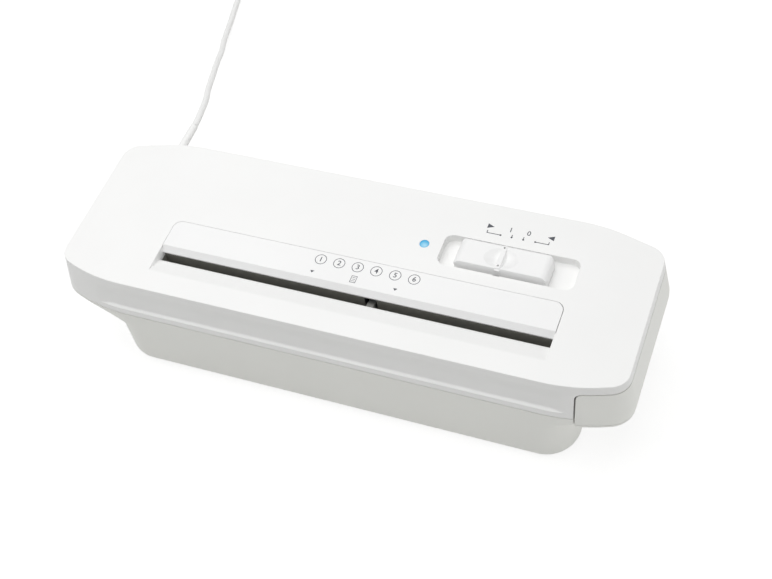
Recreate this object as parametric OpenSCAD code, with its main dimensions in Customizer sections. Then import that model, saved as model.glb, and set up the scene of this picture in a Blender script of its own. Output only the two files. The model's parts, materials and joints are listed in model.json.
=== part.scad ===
// Strip-cut paper shredder head that stands on a basket, with a slide-out arm.
// Origin: centre of the footprint at the underside of the tub. +X to the arm, +Y to the back, +Z up.

/* [Casing] */
// Half length of the top rim
rim_half_l = 159.9; // [154:0.1:166]
// Half width of the top rim
rim_half_w = 51.9; // [51:0.1:54]
// Height of the top face above the standing surface
rim_z = 72; // [71:0.5:76]
// Depth of the seam between upper and lower casing below the top face
seam_drop = 24; // [22:0.1:25]
// How far the casing flares out from the rim to the seam
flare = 3.8; // [3:0.1:4.4]
// Wall thickness of all casing shells
wall = 2.4; // [2:0.1:2.6]
// Edge rounding of the top rim
rim_round = 1; // [0.6:0.1:2]
// Length of the slanted edge at the front corners, along X
front_bend_x = 24.9; // [23:0.1:28]
// Setback of the slanted edge at the front corners, along Y
front_bend_y = 8.9; // [8:0.1:10]
// Length of the slanted edge at the back corners, along X
back_bend_x = 34.4; // [32:0.1:38]
// Setback of the slanted edge at the back corners, along Y
back_bend_y = 9.6; // [8.6:0.1:10.6]
// Radius of the shallow bends of the outline
bend_r = 95; // [70:1:100]
// Radius of the four end corners of the outline
corner_r = 10.8; // [8:0.1:11.4]
// Depth of the grip channel in the front wall
grip_depth = 1.1; // [0.6:0.1:1.3]
// Height of the grip channel
grip_h = 12.5; // [8:0.5:13]
// Distance of the grip channel's ends from the slanted edges
grip_end = 5; // [3:0.5:30]

/* [Tub] */
// How far the rim overhangs the tub at each end
tub_overhang = 24.8; // [23:0.1:27]
// How far the tub's front and back are set in from the seam
tub_inset = 0.7; // [0.3:0.1:1.2]
// Corner radius of the tub in plan
tub_corner_r = 19.5; // [15:0.5:20]
// Drop of the sloping shoulder from the seam to the tub
shoulder_drop = 14.4; // [12:0.1:17]
// Height of the upright lip below the seam
seam_lip_h = 1.6; // [1:0.1:2]
// Rounding of the tub's bottom edge
tub_round = 7.5; // [6:0.5:10]
// Draft of the tub wall between shoulder and bottom
tub_draft = 0.3; // [0:0.1:0.5]
// How far the shred outlet reaches past the cutter axes, front and back
outlet_reach = 9.5; // [8:0.1:10.5]

/* [Extension arm] */
// Gap between the tub's end wall and the plane of the arm's joint
arm_tub_gap = 0.8; // [0.6:0.1:3]
// Gap between casing and arm when the arm is in
arm_gap = 0.6; // [0.5:0.1:1]
// Depth of the arm's top face below the top face of the casing
arm_top_drop = 5.8; // [5:0.1:6.2]
// Height of the arm
arm_h = 27.2; // [26:0.1:29]
// Thickness of the arm's base plate
base_plate_t = 3; // [2.4:0.1:3.4]
// Rounding of the arm's top corner at the joint
arm_corner_r = 3.5; // [2:0.5:4.5]
// Rounding of the arm's bottom corner at the joint
arm_low_corner_r = 2; // [1:0.5:2.5]
// Travel of the arm
arm_travel = 110; // [80:1:112]
// Length of rail that stays in the casing when the arm is out
rail_hold = 31.6; // [28:0.1:34]
// Distance of the rails' inner faces from the rim's front and back edges
rail_setback = 10.9; // [10.5:0.1:11.2]
// Rail thickness
rail_t = 3.4; // [3:0.1:3.6]
// Rail height
rail_h = 12; // [10:0.5:13]
// Height of the rails' lower edges above the seam
rail_lift = 3.6; // [3.2:0.1:4.6]
// Clearance around a rail in its guides
rail_clear = 0.4; // [0.3:0.05:0.6]

/* [Inlet] */
// Play between the right end of the paper slot and the right side plate
slot_end_play = 1.2; // [0.8:0.1:3]
// Distance of the slot's front wall from the front edge of the rim
slot_setback = 24.9; // [24.6:0.1:25.4]
// Width of the slot
slot_gap = 5.2; // [5:0.1:5.6]
// Length of the lead-in ramp in front of the slot
ramp_l = 11.8; // [9:0.1:15]
// Depth of the ramp at the slot
ramp_depth = 5.2; // [4:0.1:6]
// Radius where the ramp turns down into the slot
ramp_r = 4; // [3:0.5:5]
// Depth of the slot walls below the top face
slot_depth = 15; // [13:0.5:16]
// Width of the inlet panel behind the slot
panel_w = 19.1; // [17:0.1:20]
// Thickness of the inlet panel
panel_t = 2; // [1.6:0.1:2.2]
// Height of the panel's front lip
panel_lip_h = 6.5; // [5:0.5:8]
// Radius of the panel's back corners
panel_corner_r = 6.5; // [4:0.5:8]
// Gap around the panel
panel_gap = 0.25; // [0.15:0.05:0.4]

/* [Switch and light] */
// Distance of the knob's middle line behind the inlet panel
knob_setback = 17.6; // [17:0.1:20]
// Length of the knob at its base
knob_l = 51.6; // [48:0.1:52.6]
// Width of the knob at its base
knob_w = 17.2; // [15:0.1:17.6]
// Height of the knob above the top face
knob_rise = 2.5; // [2:0.1:3.5]
// Inset of the knob's top face along X
knob_inset_x = 2.6; // [2:0.1:3.5]
// Inset of the knob's top face along Y
knob_inset_y = 2.2; // [1:0.1:3]
// Corner radius of the knob
knob_corner_r = 3; // [2:0.1:4]
// Distance between two switch positions
switch_step = 6.35; // [6:0.05:6.5]
// How far the switch recess reaches past the right end of the slot
recess_shift = 0.6; // [-6:0.1:2]
// Play between the recess and the knob in its rightmost position
knob_play_right = 0.5; // [0.4:0.1:2]
// Play between the recess and the knob in its leftmost position
knob_play_left = 2.65; // [0.45:0.05:4]
// Width of the switch recess
recess_w = 18.6; // [18.3:0.1:19]
// Extra room in the recess behind the knob
recess_back = 1.7; // [0:0.1:2]
// Depth of the switch recess
recess_depth = 4; // [3:0.1:4.4]
// Corner radius of the switch recess
recess_r = 4.6; // [3:0.1:6]
// Distance of the status light from the left end of the switch recess
light_setback = 9.8; // [8:0.1:14]
// Distance of the status light behind the knob's middle line
light_shift = 1.3; // [0:0.1:3]
// Radius of the status light's lens
light_r = 3; // [2:0.1:3.4]

/* [Cutters] */
// Height of both cutter axes
cutter_z = 28; // [27:0.5:29]
// Teeth of each of the two synchronising gears
sync_teeth = 22; // [21:1:22]
// Overlap of the discs of the two cutters
disc_bite = 2; // [1.6:0.1:2.4]
// Number of discs on each shaft
disc_count = 18; // [16:1:18]
// Side clearance between neighbouring discs
disc_clear = 0.12; // [0.08:0.01:0.2]
// Radius of the spacers between the discs
spacer_r = 8; // [6:0.1:8.8]
// Radius of the cutter shafts in their bushes
shaft_r = 4; // [3.5:0.1:4.2]
// Running clearance of shafts in bushes
run_clear = 0.05; // [0.02:0.01:0.1]
// Outer radius of the cutter bushes
bush_r = 6.5; // [6:0.1:7]
// Thickness of the steel side plates
plate_t = 2; // [1.5:0.1:2.2]
// Radius of the tie rods
tie_r = 2.5; // [2:0.1:2.6]

/* [Gear train] */
// Module of the cutter gears
module_out = 1; // [0.96:0.01:1.01]
// Module of the middle stage
module_mid = 0.8; // [0.76:0.01:0.81]
// Module of the motor stage
module_in = 0.6; // [0.57:0.01:0.61]
// Teeth of all pinions
pinion_teeth = 12; // [12:1:13]
// Teeth of the drive gear on the rear cutter
drive_teeth = 32; // [30:1:32]
// Teeth of the first intermediate wheel
wheel_a_teeth = 42; // [40:1:42]
// Teeth of the second intermediate wheel
wheel_b_teeth = 56; // [54:1:57]
// Direction from the rear cutter to the first intermediate axle
stage_a_angle = 50; // [49:1:51]
// Direction from the first to the second intermediate axle
stage_b_angle = 8; // [7:1:9]
// Width of the gears of the motor and middle stages
gear_w = 4; // [3.5:0.1:4]
// Width of the drive gear
drive_w = 4.8; // [4.4:0.1:4.8]
// Thinning of each tooth flank for backlash
backlash = 0.07; // [0.05:0.01:0.1]
// Radius of the intermediate axles
axle_r = 2; // [1.5:0.1:2]
// Room between the tub's left end wall and the gearbox cover
gear_end_room = 4; // [2.4:0.1:4.4]
// Room between the tub's right end wall and the right side plate
plate_end_room = 13.5; // [11:0.1:15]

/* [Motor] */
// Radius of the motor can
motor_r = 17; // [16:0.5:17.2]
// Length of the motor can
motor_l = 68; // [60:1:72]
// Radius of the motor shaft
motor_shaft_r = 1.6; // [1.5:0.1:1.8]

/* [Electronics and sensor] */
// Depth of the control board's underside below the top face
board_drop = 17; // [16.4:0.1:17.4]
// Thickness of the control board
board_t = 1.6; // [1.2:0.1:2]
// Distance of the paper sensor lever from the status light
sensor_shift = 18; // [14:0.5:30]
// Width of the sensor lever
sensor_w = 4; // [3:0.1:4.4]
// Radius of the sensor pivot pin
sensor_pin_r = 1.2; // [1:0.1:1.4]

/* [Fasteners] */
// Shank radius of the casing and arm screws
screw_r = 1.5; // [1.2:0.1:1.6]
// Head radius of the screws
screw_head_r = 2.8; // [2.4:0.1:3]
// Outer radius of the screw bosses
boss_r = 3.6; // [3.4:0.1:3.8]
// Distance of the casing screws from the tub's end walls
screw_end_setback = 7.8; // [7.4:0.1:8]
// Distance of the casing screws from the rim's front and back edges
screw_side_setback = 15.4; // [15:0.1:15.8]

/* [Cord] */
// Diameter of the mains cord
cord_d = 4; // [3.6:0.1:4.4]
// Distance of the cord's exit from the left end of the rim
cord_end_setback = 24.9; // [24:0.1:28]
// Depth of the cord's exit below the top face
cord_drop = 12; // [11:0.1:13]
// Length of the strain relief outside the wall
relief_l = 22; // [20:1:24]
// Diameter of the strain relief at the wall
relief_d = 6.6; // [6:0.1:8]

/* [Hidden] */
$fn = 48;

// Small overlap that keeps cuts clean
eps = 0.01;
// Segments of each outline corner on outer and inner shells
fine = 8;
coarse = 4;

// Pale plastics, steel and brass
casing_white = "#f4f4f1";
tub_white = "#e9e9e4";
panel_white = "#f7f7f5";
dark = "#34363a";
steel = "#a9adb1";
brass = "#c8a452";
nylon = "#e6e2d3";

// ---------------------------------------------------------------- derived sizes

// Stretch from one distance to another beside a place
function beside(at, from, to) = [at + from, at + to];

flare_top_z = rim_z - rim_round;
seam_z = rim_z - seam_drop;
shoulder_z = seam_z - shoulder_drop;
tub_half_l = rim_half_l - tub_overhang;
tub_half_w = rim_half_w + flare - tub_inset;
tub_end_x = tub_half_l - wall;
tub_back_y = tub_half_w - wall;
grip_half_l = rim_half_l - front_bend_x - grip_end;

// Arm and rails
arm_joint_x = tub_half_l + arm_tub_gap;
arm_top_z = rim_z - arm_top_drop;
arm_low_z = arm_top_z - arm_h;
rail_left_x = arm_joint_x - arm_travel - rail_hold;
rail_shelf_l = 34;
rail_y = rim_half_w - rail_setback;
rail_z = seam_z + rail_lift;

// Layers of the gear train and the frame, from the tub's left end wall inward
cover_t = 1.6;
layer_gap = 0.6;
plate_clear = 1;
plate_gap = 3.5;
cover_x = gear_end_room - tub_end_x;
layer_out_x = cover_x + cover_t + layer_gap;
layer_mid_x = layer_out_x + drive_w + layer_gap;
layer_in_x = layer_mid_x + gear_w + layer_gap;
left_plate_x = layer_in_x + gear_w + plate_clear;
right_plate_x = tub_end_x - plate_end_room;

// Paper slot between the side plates
slot_x_left = left_plate_x + plate_t + plate_gap;
slot_x_right = right_plate_x - slot_end_play;
feed_w = slot_x_right - slot_x_left;
slot_y_front = slot_setback - rim_half_w;
slot_y_back = slot_y_front + slot_gap;
ramp_y = slot_y_front - ramp_l;
panel_y_back = slot_y_back + panel_w;
nip_y = (slot_y_front + slot_y_back) / 2 + 0.9;
slot_low_z = rim_z - slot_depth;
roof_z = arm_top_z + arm_gap;

cutter_gap = sync_teeth * module_out;
disc_r = (cutter_gap + disc_bite) / 2;
front_axis = [nip_y - cutter_gap / 2, cutter_z];
rear_axis = [nip_y + cutter_gap / 2, cutter_z];
disc_pitch = feed_w / (2 * disc_count);
comb_clear = 0.7;
comb_bar_t = 2.6;
outlet_y_front = front_axis.x - outlet_reach;
outlet_y_back = rear_axis.x + outlet_reach;

// Side plates
plate_low_z = 4;
plate_top_z = cutter_z + 22;
left_plate_top_z = plate_top_z + 5.5;
left_plate_back_y = tub_back_y - 7.6;
plate_front_y = 2.1 - tub_back_y;
right_plate_back_y = rear_axis.x + 20.5;

// Gear centres, each from the one before by the sum of the pitch radii
function pitch_r(m, teeth) = m * teeth / 2;
function polar(centre, r, a) = centre + r * [cos(a), sin(a)];
wheel_a_axis = polar(rear_axis, pitch_r(module_out, drive_teeth + pinion_teeth), stage_a_angle);
wheel_b_axis = polar(wheel_a_axis, pitch_r(module_mid, wheel_a_teeth + pinion_teeth), stage_b_angle);
// The motor stands midway between the rear comb and the tub's back wall
motor_reach = pitch_r(module_in, wheel_b_teeth + pinion_teeth);
motor_y = (rear_axis.x + disc_r + comb_clear + comb_bar_t + tub_back_y) / 2;
stage_c_angle = -acos((motor_y - wheel_b_axis.x) / motor_reach);
motor_axis = polar(wheel_b_axis, motor_reach, stage_c_angle);

// Turn of each gear that puts its teeth in mesh with the gear before it
function fraction(x) = x - floor(x);
function mesh_turn(direction, turn, teeth, next_teeth) =
    direction + 180 - (0.5 - fraction((direction - turn) * teeth / 360)) * 360 / next_teeth;
sync_turn = mesh_turn(180, 0, sync_teeth, sync_teeth);
pinion_a_turn = mesh_turn(stage_a_angle, 0, drive_teeth, pinion_teeth);
pinion_b_turn = mesh_turn(stage_b_angle, pinion_a_turn, wheel_a_teeth, pinion_teeth);
motor_turn = mesh_turn(stage_c_angle, pinion_b_turn, wheel_b_teeth, pinion_teeth);

frame_screw_l = 8;
tie_front_y = plate_front_y + 2.5;
tie_points = [
    [tie_front_y, cutter_z - 16], [tie_front_y, cutter_z + 15], rear_axis + [19, -20], rear_axis + [6.5, 19]
];
cover_posts = [rear_axis + [-14.5, 17], rear_axis + [26.5, -16]];
cover_outline = [
    [-19, 12], [-17, -8], [-6, -19], [22, -19], [34, -8], [34, 24], [26, 36], [2, 36], [-12, 24], [-19, 22]
];
motor_front_x = left_plate_x + plate_t;
motor_hub_r = 4;
can_t = 1.2;
seat_clear = 0.05;
motor_screw_reach = 10;
motor_screw_points = [for (a = [90, 270]) polar(motor_axis, motor_screw_reach, a)];

// Knob, stem and recess
recess_x_right = slot_x_right + recess_shift;
knob_x = recess_x_right - knob_play_right - 2 * switch_step - knob_l / 2;
recess_x_left = knob_x - knob_l / 2 - switch_step - knob_play_left;
knob_y = panel_y_back + knob_setback;
light_x = recess_x_left - light_setback;
light_y = knob_y + light_shift;
knob_base_z = rim_z - recess_depth + 0.3;
knob_top_z = rim_z + knob_rise;
stem_l = 8;
stem_w = 3;
recess_floor_t = 2;
recess_low_z = rim_z - recess_depth - recess_floor_t;
slider_top_z = recess_low_z - 0.8;
board_z = rim_z - board_drop;
board_top_z = board_z + board_t;
switch_top_z = board_top_z + 5.4;
board_x = [light_x - 7, slot_x_right];
board_y = beside(knob_y, -11.9, 14.1);
board_edge = 4;
board_posts = [
    [board_x[0] + board_edge, board_y[0] + board_edge], [board_x[0] + board_edge, board_y[1] - board_edge],
    [board_x[1] - board_edge, board_y[1] - board_edge]
];
post_r = 2.6;
board_screw_r = 1.1;

// Paper sensor
sensor_x = light_x - sensor_shift;
sensor_axis = [slot_y_back + 8.8, rim_z - 17];
sensor_notch = sensor_w + 3;
sensor_notch_x = beside(sensor_x, -sensor_notch / 2, sensor_notch / 2);
sensor_lug_out = sensor_notch / 2 + 3;
sensor_switch_y = beside(sensor_axis.x, 4.5, 11.5);
sensor_switch_z = sensor_axis.y + 8;

// Casing screws
casing_screw_x = tub_half_l - screw_end_setback;
casing_screw_y = rim_half_w - screw_side_setback;
screw_low_z = 30;
screw_l = seam_z - screw_low_z + 6.6;
screw_head_h = 2.4;
well_r = screw_head_r + 0.4;

// Arm screws, up through the base plate
arm_foot_x = arm_joint_x + 6.9;
arm_foot_y = rail_y - 2.2;
arm_boss_x = rim_half_l - 4.9;
arm_screw_points = [[arm_foot_x, -arm_foot_y], [arm_foot_x, arm_foot_y], [arm_boss_x, -20], [arm_boss_x, 20]];
arm_foot_top_z = rail_z + 1;
arm_boss_top_z = arm_top_z - 7.4;

// Strain relief and cord
cord_x = cord_end_setback - rim_half_l;
cord_z = rim_z - cord_drop;
relief_y = rim_half_w - 2.8;
relief_tip_y = rim_half_w + 2.1 + relief_l;
relief_flange_t = 2.6;
relief_flange_r = relief_d / 2 + 1.6;
cord_r = cord_d / 2;
cord_floor = cord_r + 0.1;
cord_route = [
    [-135, 76, 60], [-136, 83, 59], [-139, 94, 56], [-144, 107, 50], [-151, 121, 43],
    [-158, 137, 35], [-165, 153, 27], [-172, 169, 19], [-178, 185, 12], [-184, 200, 7], [-188, 213, 4],
    [-191, 225, cord_floor], [-194, 240, cord_floor], [-196, 252, cord_floor], [-198, 267, cord_floor],
    [-198.5, 279, cord_floor], [-198, 290, cord_floor]
];
coil_centre = [-166, 290];
coil_mid_r = 24;
coil_columns = 5;
coil_rows = 2;
coil_w = coil_columns * cord_d;
coil_h = coil_rows * cord_d;
tail_route = [[-166, 322, 6.1], [-157, 322, 6.2], [-148, 321.5, 6.6], [-140, 320.5, 7]];
plug_relief_l = 13;
plug_l = 34;
plug_w = 35;
plug_h = 13.6;
pin_r = 2;
pin_l = 19;
pin_gap = 19;

// ---------------------------------------------------------------- outlines and lofts

// Unit vector from a to b
function toward(a, b) = (b - a) / norm(b - a);

// Outward normal of an edge of a counter-clockwise outline
function edge_normal(a, b) = let (u = toward(a, b)) [u.y, -u.x];

// Corners of an outline moved outward by d
function grown(v, d) = let (n = len(v)) [
    for (i = [0 : n - 1])
        let (before = edge_normal(v[(i + n - 1) % n], v[i]))
        let (after = edge_normal(v[i], v[(i + 1) % n]))
        v[i] + d * (before + after) / (1 + before * after)
];

// Arc that rounds the corner "at" of an outline
function corner_arc(before, at, after, r, steps) =
    let (a = toward(at, before))
    let (b = toward(at, after))
    let (half = acos(a * b) / 2)
    let (centre = at + (a + b) / norm(a + b) * r / sin(half))
    let (from = at + a * r / tan(half) - centre)
    let (start = atan2(from.y, from.x))
    let (sweep = 180 - 2 * half)
    [for (k = [0 : steps]) polar(centre, r, start + sweep * k / steps)];

// Outline with all corners rounded
function rounded(v, radii, steps) = let (n = len(v)) [
    for (i = [0 : n - 1])
        each corner_arc(v[(i + n - 1) % n], v[i], v[(i + 1) % n], radii[i], steps)
];

// Corners of a rectangle, counter-clockwise from the front right
function box_corners(x0, x1, y0, y1) = [[x1, y0], [x1, y1], [x0, y1], [x0, y0]];

// Points of an outline at height z
function at_height(outline, z) = [for (p = outline) [p.x, p.y, z]];

rim_corners = [
    [rim_half_l - front_bend_x, -rim_half_w],
    [rim_half_l, front_bend_y - rim_half_w],
    [rim_half_l, rim_half_w - back_bend_y],
    [rim_half_l - back_bend_x, rim_half_w],
    [back_bend_x - rim_half_l, rim_half_w],
    [-rim_half_l, rim_half_w - back_bend_y],
    [-rim_half_l, front_bend_y - rim_half_w],
    [front_bend_x - rim_half_l, -rim_half_w]
];

tub_corners = box_corners(-tub_half_l, tub_half_l, -tub_half_w, tub_half_w);

// Casing outline moved outward by d from the rim, at height z
function casing_ring(d, z, steps) =
    let (bend = bend_r + d)
    let (corner = corner_r + d)
    let (radii = [bend, corner, corner, bend, bend, corner, corner, bend])
    at_height(rounded(grown(rim_corners, d), radii, steps), z);

// Tub outline moved outward by d, with as many points as a casing ring
function tub_ring(d, z, steps) =
    let (r = tub_corner_r + d)
    at_height(rounded(grown(tub_corners, d), [r, r, r, r], 2 * steps + 1), z);

// Flare of the casing wall at height z
function flare_at(z) = flare * (flare_top_z - z) / (flare_top_z - seam_z);

// Number that follows i in a ring of n points
function next(i, n) = (i + 1) % n;

// Closed solid through rings of equally many points, lowest first
module loft(rings) {
    n = len(rings[0]);
    last = len(rings) - 1;
    polyhedron(
        points = [for (ring = rings) each ring],
        faces = concat(
            [[for (i = [0 : n - 1]) i]],
            [[for (i = [n - 1 : -1 : 0]) last * n + i]],
            [for (k = [n : n : last * n], i = [0 : n - 1]) [k - n + i, k + i, k + next(i, n)]],
            [for (k = [n : n : last * n], i = [0 : n - 1]) [k - n + i, k + next(i, n), k - n + next(i, n)]]
        )
    );
}

// Box between two corners
module block(x, y, z) {
    translate([x[0], y[0], z[0]]) cube([x[1] - x[0], y[1] - y[0], z[1] - z[0]]);
}

// Cylinder along X, centred on a point of the YZ plane
module bar_x(centre, r, x) {
    translate([x[0], centre.x, centre.y]) rotate([0, 90, 0]) cylinder(r = r, h = x[1] - x[0]);
}

// Cylinder along Z
module post(centre, r, z) {
    translate([centre.x, centre.y, z[0]]) cylinder(r = r, h = z[1] - z[0]);
}

// Profile in the YZ plane, drawn out along X
module drawn_x(x) {
    translate([x[0], 0, 0]) rotate([90, 0, 90]) linear_extrude(x[1] - x[0]) children();
}

// Rounded rectangle plate
module rounded_plate(x, y, z, r) {
    corners = box_corners(x[0], x[1], y[0], y[1]);
    translate([0, 0, z[0]]) linear_extrude(z[1] - z[0]) polygon(rounded(corners, [r, r, r, r], 10));
}

// Screw with a pan head, its shank going up from the head's top
module screw_up(centre, z, length, r, head_r) {
    post(centre, r, [z, z + length]);
    post(centre, head_r, [z - screw_head_h, z]);
}

// ---------------------------------------------------------------- gears

pressure_angle = 25;

function involute(a) = tan(a) * 180 / PI - a;

// Half of a tooth's angle at radius r
function tooth_half(r, m, teeth) =
    let (pitch = pitch_r(m, teeth))
    let (base = pitch * cos(pressure_angle))
    90 / teeth + involute(pressure_angle) - involute(acos(min(1, base / r))) - backlash / pitch * 180 / PI;

// Outline of a spur gear with a tooth centred on the angle "turn"
function gear_outline(m, teeth, turn) =
    let (pitch = pitch_r(m, teeth))
    let (radii = [pitch - 1.25 * m, pitch - 0.5 * m, pitch, pitch + m])
    [
        for (t = [0 : teeth - 1])
            let (middle = turn + 360 * t / teeth)
            each concat(
                [for (r = radii) polar([0, 0], r, middle - tooth_half(r, m, teeth))],
                [for (k = [3 : -1 : 0]) polar([0, 0], radii[k], middle + tooth_half(radii[k], m, teeth))]
            )
    ];

// Spur gear about an axis along X
module gear_x(centre, m, teeth, turn, x) {
    drawn_x(x) translate(centre) polygon(gear_outline(m, teeth, turn));
}

// ---------------------------------------------------------------- casing

module upper_outer() {
    loft(concat(
        [casing_ring(flare, seam_z, fine)],
        [for (a = [0 : 22.5 : 90])
            casing_ring(rim_round * (cos(a) - 1), flare_top_z + rim_round * sin(a), fine)]
    ));
}

module upper_cavity() {
    intersection() {
        loft([
            casing_ring(flare - wall, seam_z - 1, coarse),
            casing_ring(-wall, rim_z - wall, coarse)
        ]);
        block([-200, arm_joint_x - wall], [-100, 100], [seam_z - 2, rim_z]);
    }
}

// Stiff block around the slot, with the underside of the ramp
module slot_block() {
    front = slot_y_front - wall;
    back = slot_y_back + wall + 2.2;
    drawn_x([slot_x_left - wall, slot_x_right + wall])
        polygon([
            [ramp_y - 2, rim_z - 1], [ramp_y - 2, rim_z - wall - 0.1], [front, rim_z - ramp_depth - 4],
            [front, slot_low_z], [back, slot_low_z], [back, rim_z - 1]
        ]);
}

// Slot and ramp, cut out of the block
module slot_cut() {
    ramp_foot = [slot_y_front, rim_z - ramp_depth];
    edge = corner_arc([ramp_y, rim_z], ramp_foot, [slot_y_front, slot_low_z], ramp_r, 8);
    drawn_x([slot_x_left, slot_x_right])
        polygon(concat([[ramp_y, rim_z]], edge, [
            [slot_y_front, slot_low_z - 1], [slot_y_back, slot_low_z - 1],
            [slot_y_back, rim_z + 1], [ramp_y, rim_z + 1]
        ]));
}

// Pocket that holds the inlet panel and its lip
module panel_pocket() {
    x = [slot_x_left - panel_gap, slot_x_right + panel_gap];
    y = [slot_y_back - 20, panel_y_back + panel_gap];
    lip_low_z = rim_z - panel_lip_h - panel_gap;
    intersection() {
        rounded_plate(x, y, [rim_z - panel_t, rim_z + 1], panel_corner_r);
        block(x, [slot_y_back - eps, y[1] + 1], [lip_low_z, rim_z + 2]);
    }
    block(x, [slot_y_back - eps, slot_y_back + wall + panel_gap], [lip_low_z, rim_z + 1]);
}

module grip_channel() {
    tilt = atan(flare / (flare_top_z - seam_z));
    middle_z = (seam_z + rim_z) / 2;
    r = grip_h / 2 - eps;
    corners = box_corners(-grip_half_l, grip_half_l, -grip_h / 2, grip_h / 2);
    translate([0, -rim_half_w - flare_at(middle_z), middle_z])
        rotate([90 - tilt, 0, 0])
        translate([0, 0, -grip_depth])
        linear_extrude(grip_depth + 5)
        polygon(rounded(corners, [r, r, r, r], 8));
}

// Windows and shelves of one arm rail; side is -1 for the front, 1 for the back
module rail_space(side, x) {
    y = side * (rail_y + rail_t / 2);
    half = rail_t / 2 + rail_clear;
    block(x, [y - half, y + half], [rail_z - rail_clear, rail_z + rail_h + rail_clear]);
}

module rail_shelf(side) {
    y = side * (rail_y + rail_t / 2);
    block([tub_half_l - rail_shelf_l, arm_joint_x - wall], [y - rail_t / 2 - 1, y + rail_t / 2],
        [seam_z + 1, rail_z - rail_clear]);
}

// Lug under the slot block that carries the sensor's pivot pin
module sensor_lug(x) {
    block(x, [slot_y_back + wall + 0.2, sensor_axis.x + 2.6], [sensor_axis.y - 2.6, sensor_axis.y + 6]);
}

// Room for the arm, with its top corner round like the arm's
module arm_opening() {
    translate([0, 100, 0]) rotate([90, 0, 0]) linear_extrude(200)
        polygon(rounded(box_corners(arm_joint_x, 200, 0, roof_z), [1, 1, arm_corner_r + arm_gap, 1], 6));
}

module upper_casing() {
    recess_y = [knob_y - recess_w / 2, knob_y + recess_w / 2 + recess_back];
    color(casing_white)
    difference() {
        union() {
            difference() {
                upper_outer();
                upper_cavity();
                arm_opening();
            }
            slot_block();
            block([recess_x_left - 2, recess_x_right + 2], recess_y + [-2, 2], [recess_low_z, rim_z - 1]);
            for (x = [-1, 1], y = [-1, 1])
                post([x * casing_screw_x, y * casing_screw_y], boss_r, [seam_z, rim_z - 1]);
            for (p = board_posts)
                post(p, post_r, [board_top_z, rim_z - 1]);
            for (side = [-1, 1])
                rail_shelf(side);
            sensor_lug([sensor_x - sensor_lug_out, sensor_notch_x[0]]);
            sensor_lug([sensor_notch_x[1], sensor_x + sensor_lug_out]);
            block(beside(sensor_x, -5, 5), sensor_switch_y + [-0.5, 0.5], [sensor_switch_z, rim_z - 1]);
        }
        slot_cut();
        panel_pocket();
        rounded_plate([recess_x_left, recess_x_right], recess_y, [rim_z - recess_depth, rim_z + 1], recess_r);
        block([knob_x - stem_l / 2 - switch_step - 0.6, knob_x + stem_l / 2 + 2 * switch_step + 0.6],
            [knob_y - stem_w / 2 - 0.4, knob_y + stem_w / 2 + 0.4], [recess_low_z - 1, rim_z]);
        post([light_x, light_y], light_r, [rim_z - 4, rim_z + 1]);
        block(sensor_notch_x, [slot_y_back - eps, sensor_axis.x - 1],
            [slot_low_z - 1, rim_z - panel_lip_h - panel_gap]);
        bar_x(sensor_axis, sensor_pin_r, [sensor_x - sensor_lug_out + 1, sensor_x + sensor_lug_out - 1]);
        grip_channel();
        for (side = [-1, 1])
            rail_space(side, [arm_joint_x - wall - 1, arm_joint_x + 1]);
        for (x = [-1, 1], y = [-1, 1])
            post([x * casing_screw_x, y * casing_screw_y], screw_r, [seam_z - 1, screw_low_z + screw_l + 1]);
        for (p = board_posts)
            post(p, board_screw_r, [board_top_z - 1, board_top_z + 8]);
        translate([cord_x, relief_y, cord_z]) rotate([-90, 0, 0]) {
            cylinder(d = relief_d, h = 9);
            translate([0, 0, -9]) cylinder(r = relief_flange_r, h = 9);
        }
        cord_clamp_block(0.3);
    }
}

module lower_outer() {
    loft(concat(
        [for (a = [0 : 22.5 : 90])
            tub_ring(-tub_draft - tub_round * (1 - sin(a)), tub_round * (1 - cos(a)), fine)],
        [tub_ring(0, shoulder_z, fine)],
        [casing_ring(flare - 1.2, seam_z - seam_lip_h - 1.2, fine), casing_ring(flare, seam_z - seam_lip_h, fine)],
        [casing_ring(flare, seam_z - 0.4, fine), casing_ring(flare - 0.5, seam_z, fine)]
    ));
}

module lower_cavity() {
    inner_round = tub_round - wall;
    intersection() {
        loft(concat(
            [for (a = [0 : 30 : 90])
                let (d = inner_round * (sin(a) - 1) - wall - tub_draft)
                tub_ring(d, wall + inner_round * (1 - cos(a)), coarse)],
            [tub_ring(-wall, shoulder_z + 1.5, coarse)],
            [casing_ring(flare - wall - 1.2, seam_z + eps, coarse)]
        ));
        block([-200, arm_joint_x - wall], [-100, 100], [0, seam_z + 1]);
    }
}

// Rest for the lower edge of a side plate
module plate_rest(x, y) {
    block([x - 1.5, x + plate_t + 1.5], y, [wall - 0.5, plate_low_z]);
}

module lower_casing() {
    color(tub_white)
    difference() {
        union() {
            difference() {
                lower_outer();
                lower_cavity();
                block([arm_joint_x, 200], [-100, 100], [-1, seam_z + 1]);
            }
            for (x = [-1, 1], y = [-1, 1])
                post([x * casing_screw_x, y * casing_screw_y], well_r + 1, [wall, seam_z]);
            for (x = [left_plate_x, right_plate_x])
                for (y = [[plate_front_y + 2, outlet_y_front - 0.5], [outlet_y_back + 1, right_plate_back_y]])
                    plate_rest(x, y);
            difference() {
                for (x = [motor_front_x + 14, motor_front_x + motor_l - 14])
                    block([x, x + 4], beside(motor_axis.x, -12, 12), [wall - 0.5, motor_axis.y - 8]);
                bar_x(motor_axis, motor_r + seat_clear, [motor_front_x, motor_front_x + motor_l]);
            }
        }
        block([slot_x_left, slot_x_right], [outlet_y_front, outlet_y_back], [-1, wall + 1]);
        for (x = [-1, 1], y = [-1, 1]) {
            post([x * casing_screw_x, y * casing_screw_y], well_r, [-1, screw_low_z]);
            post([x * casing_screw_x, y * casing_screw_y], screw_r + 0.3, [screw_low_z - 1, seam_z + 1]);
        }
    }
}

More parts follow.
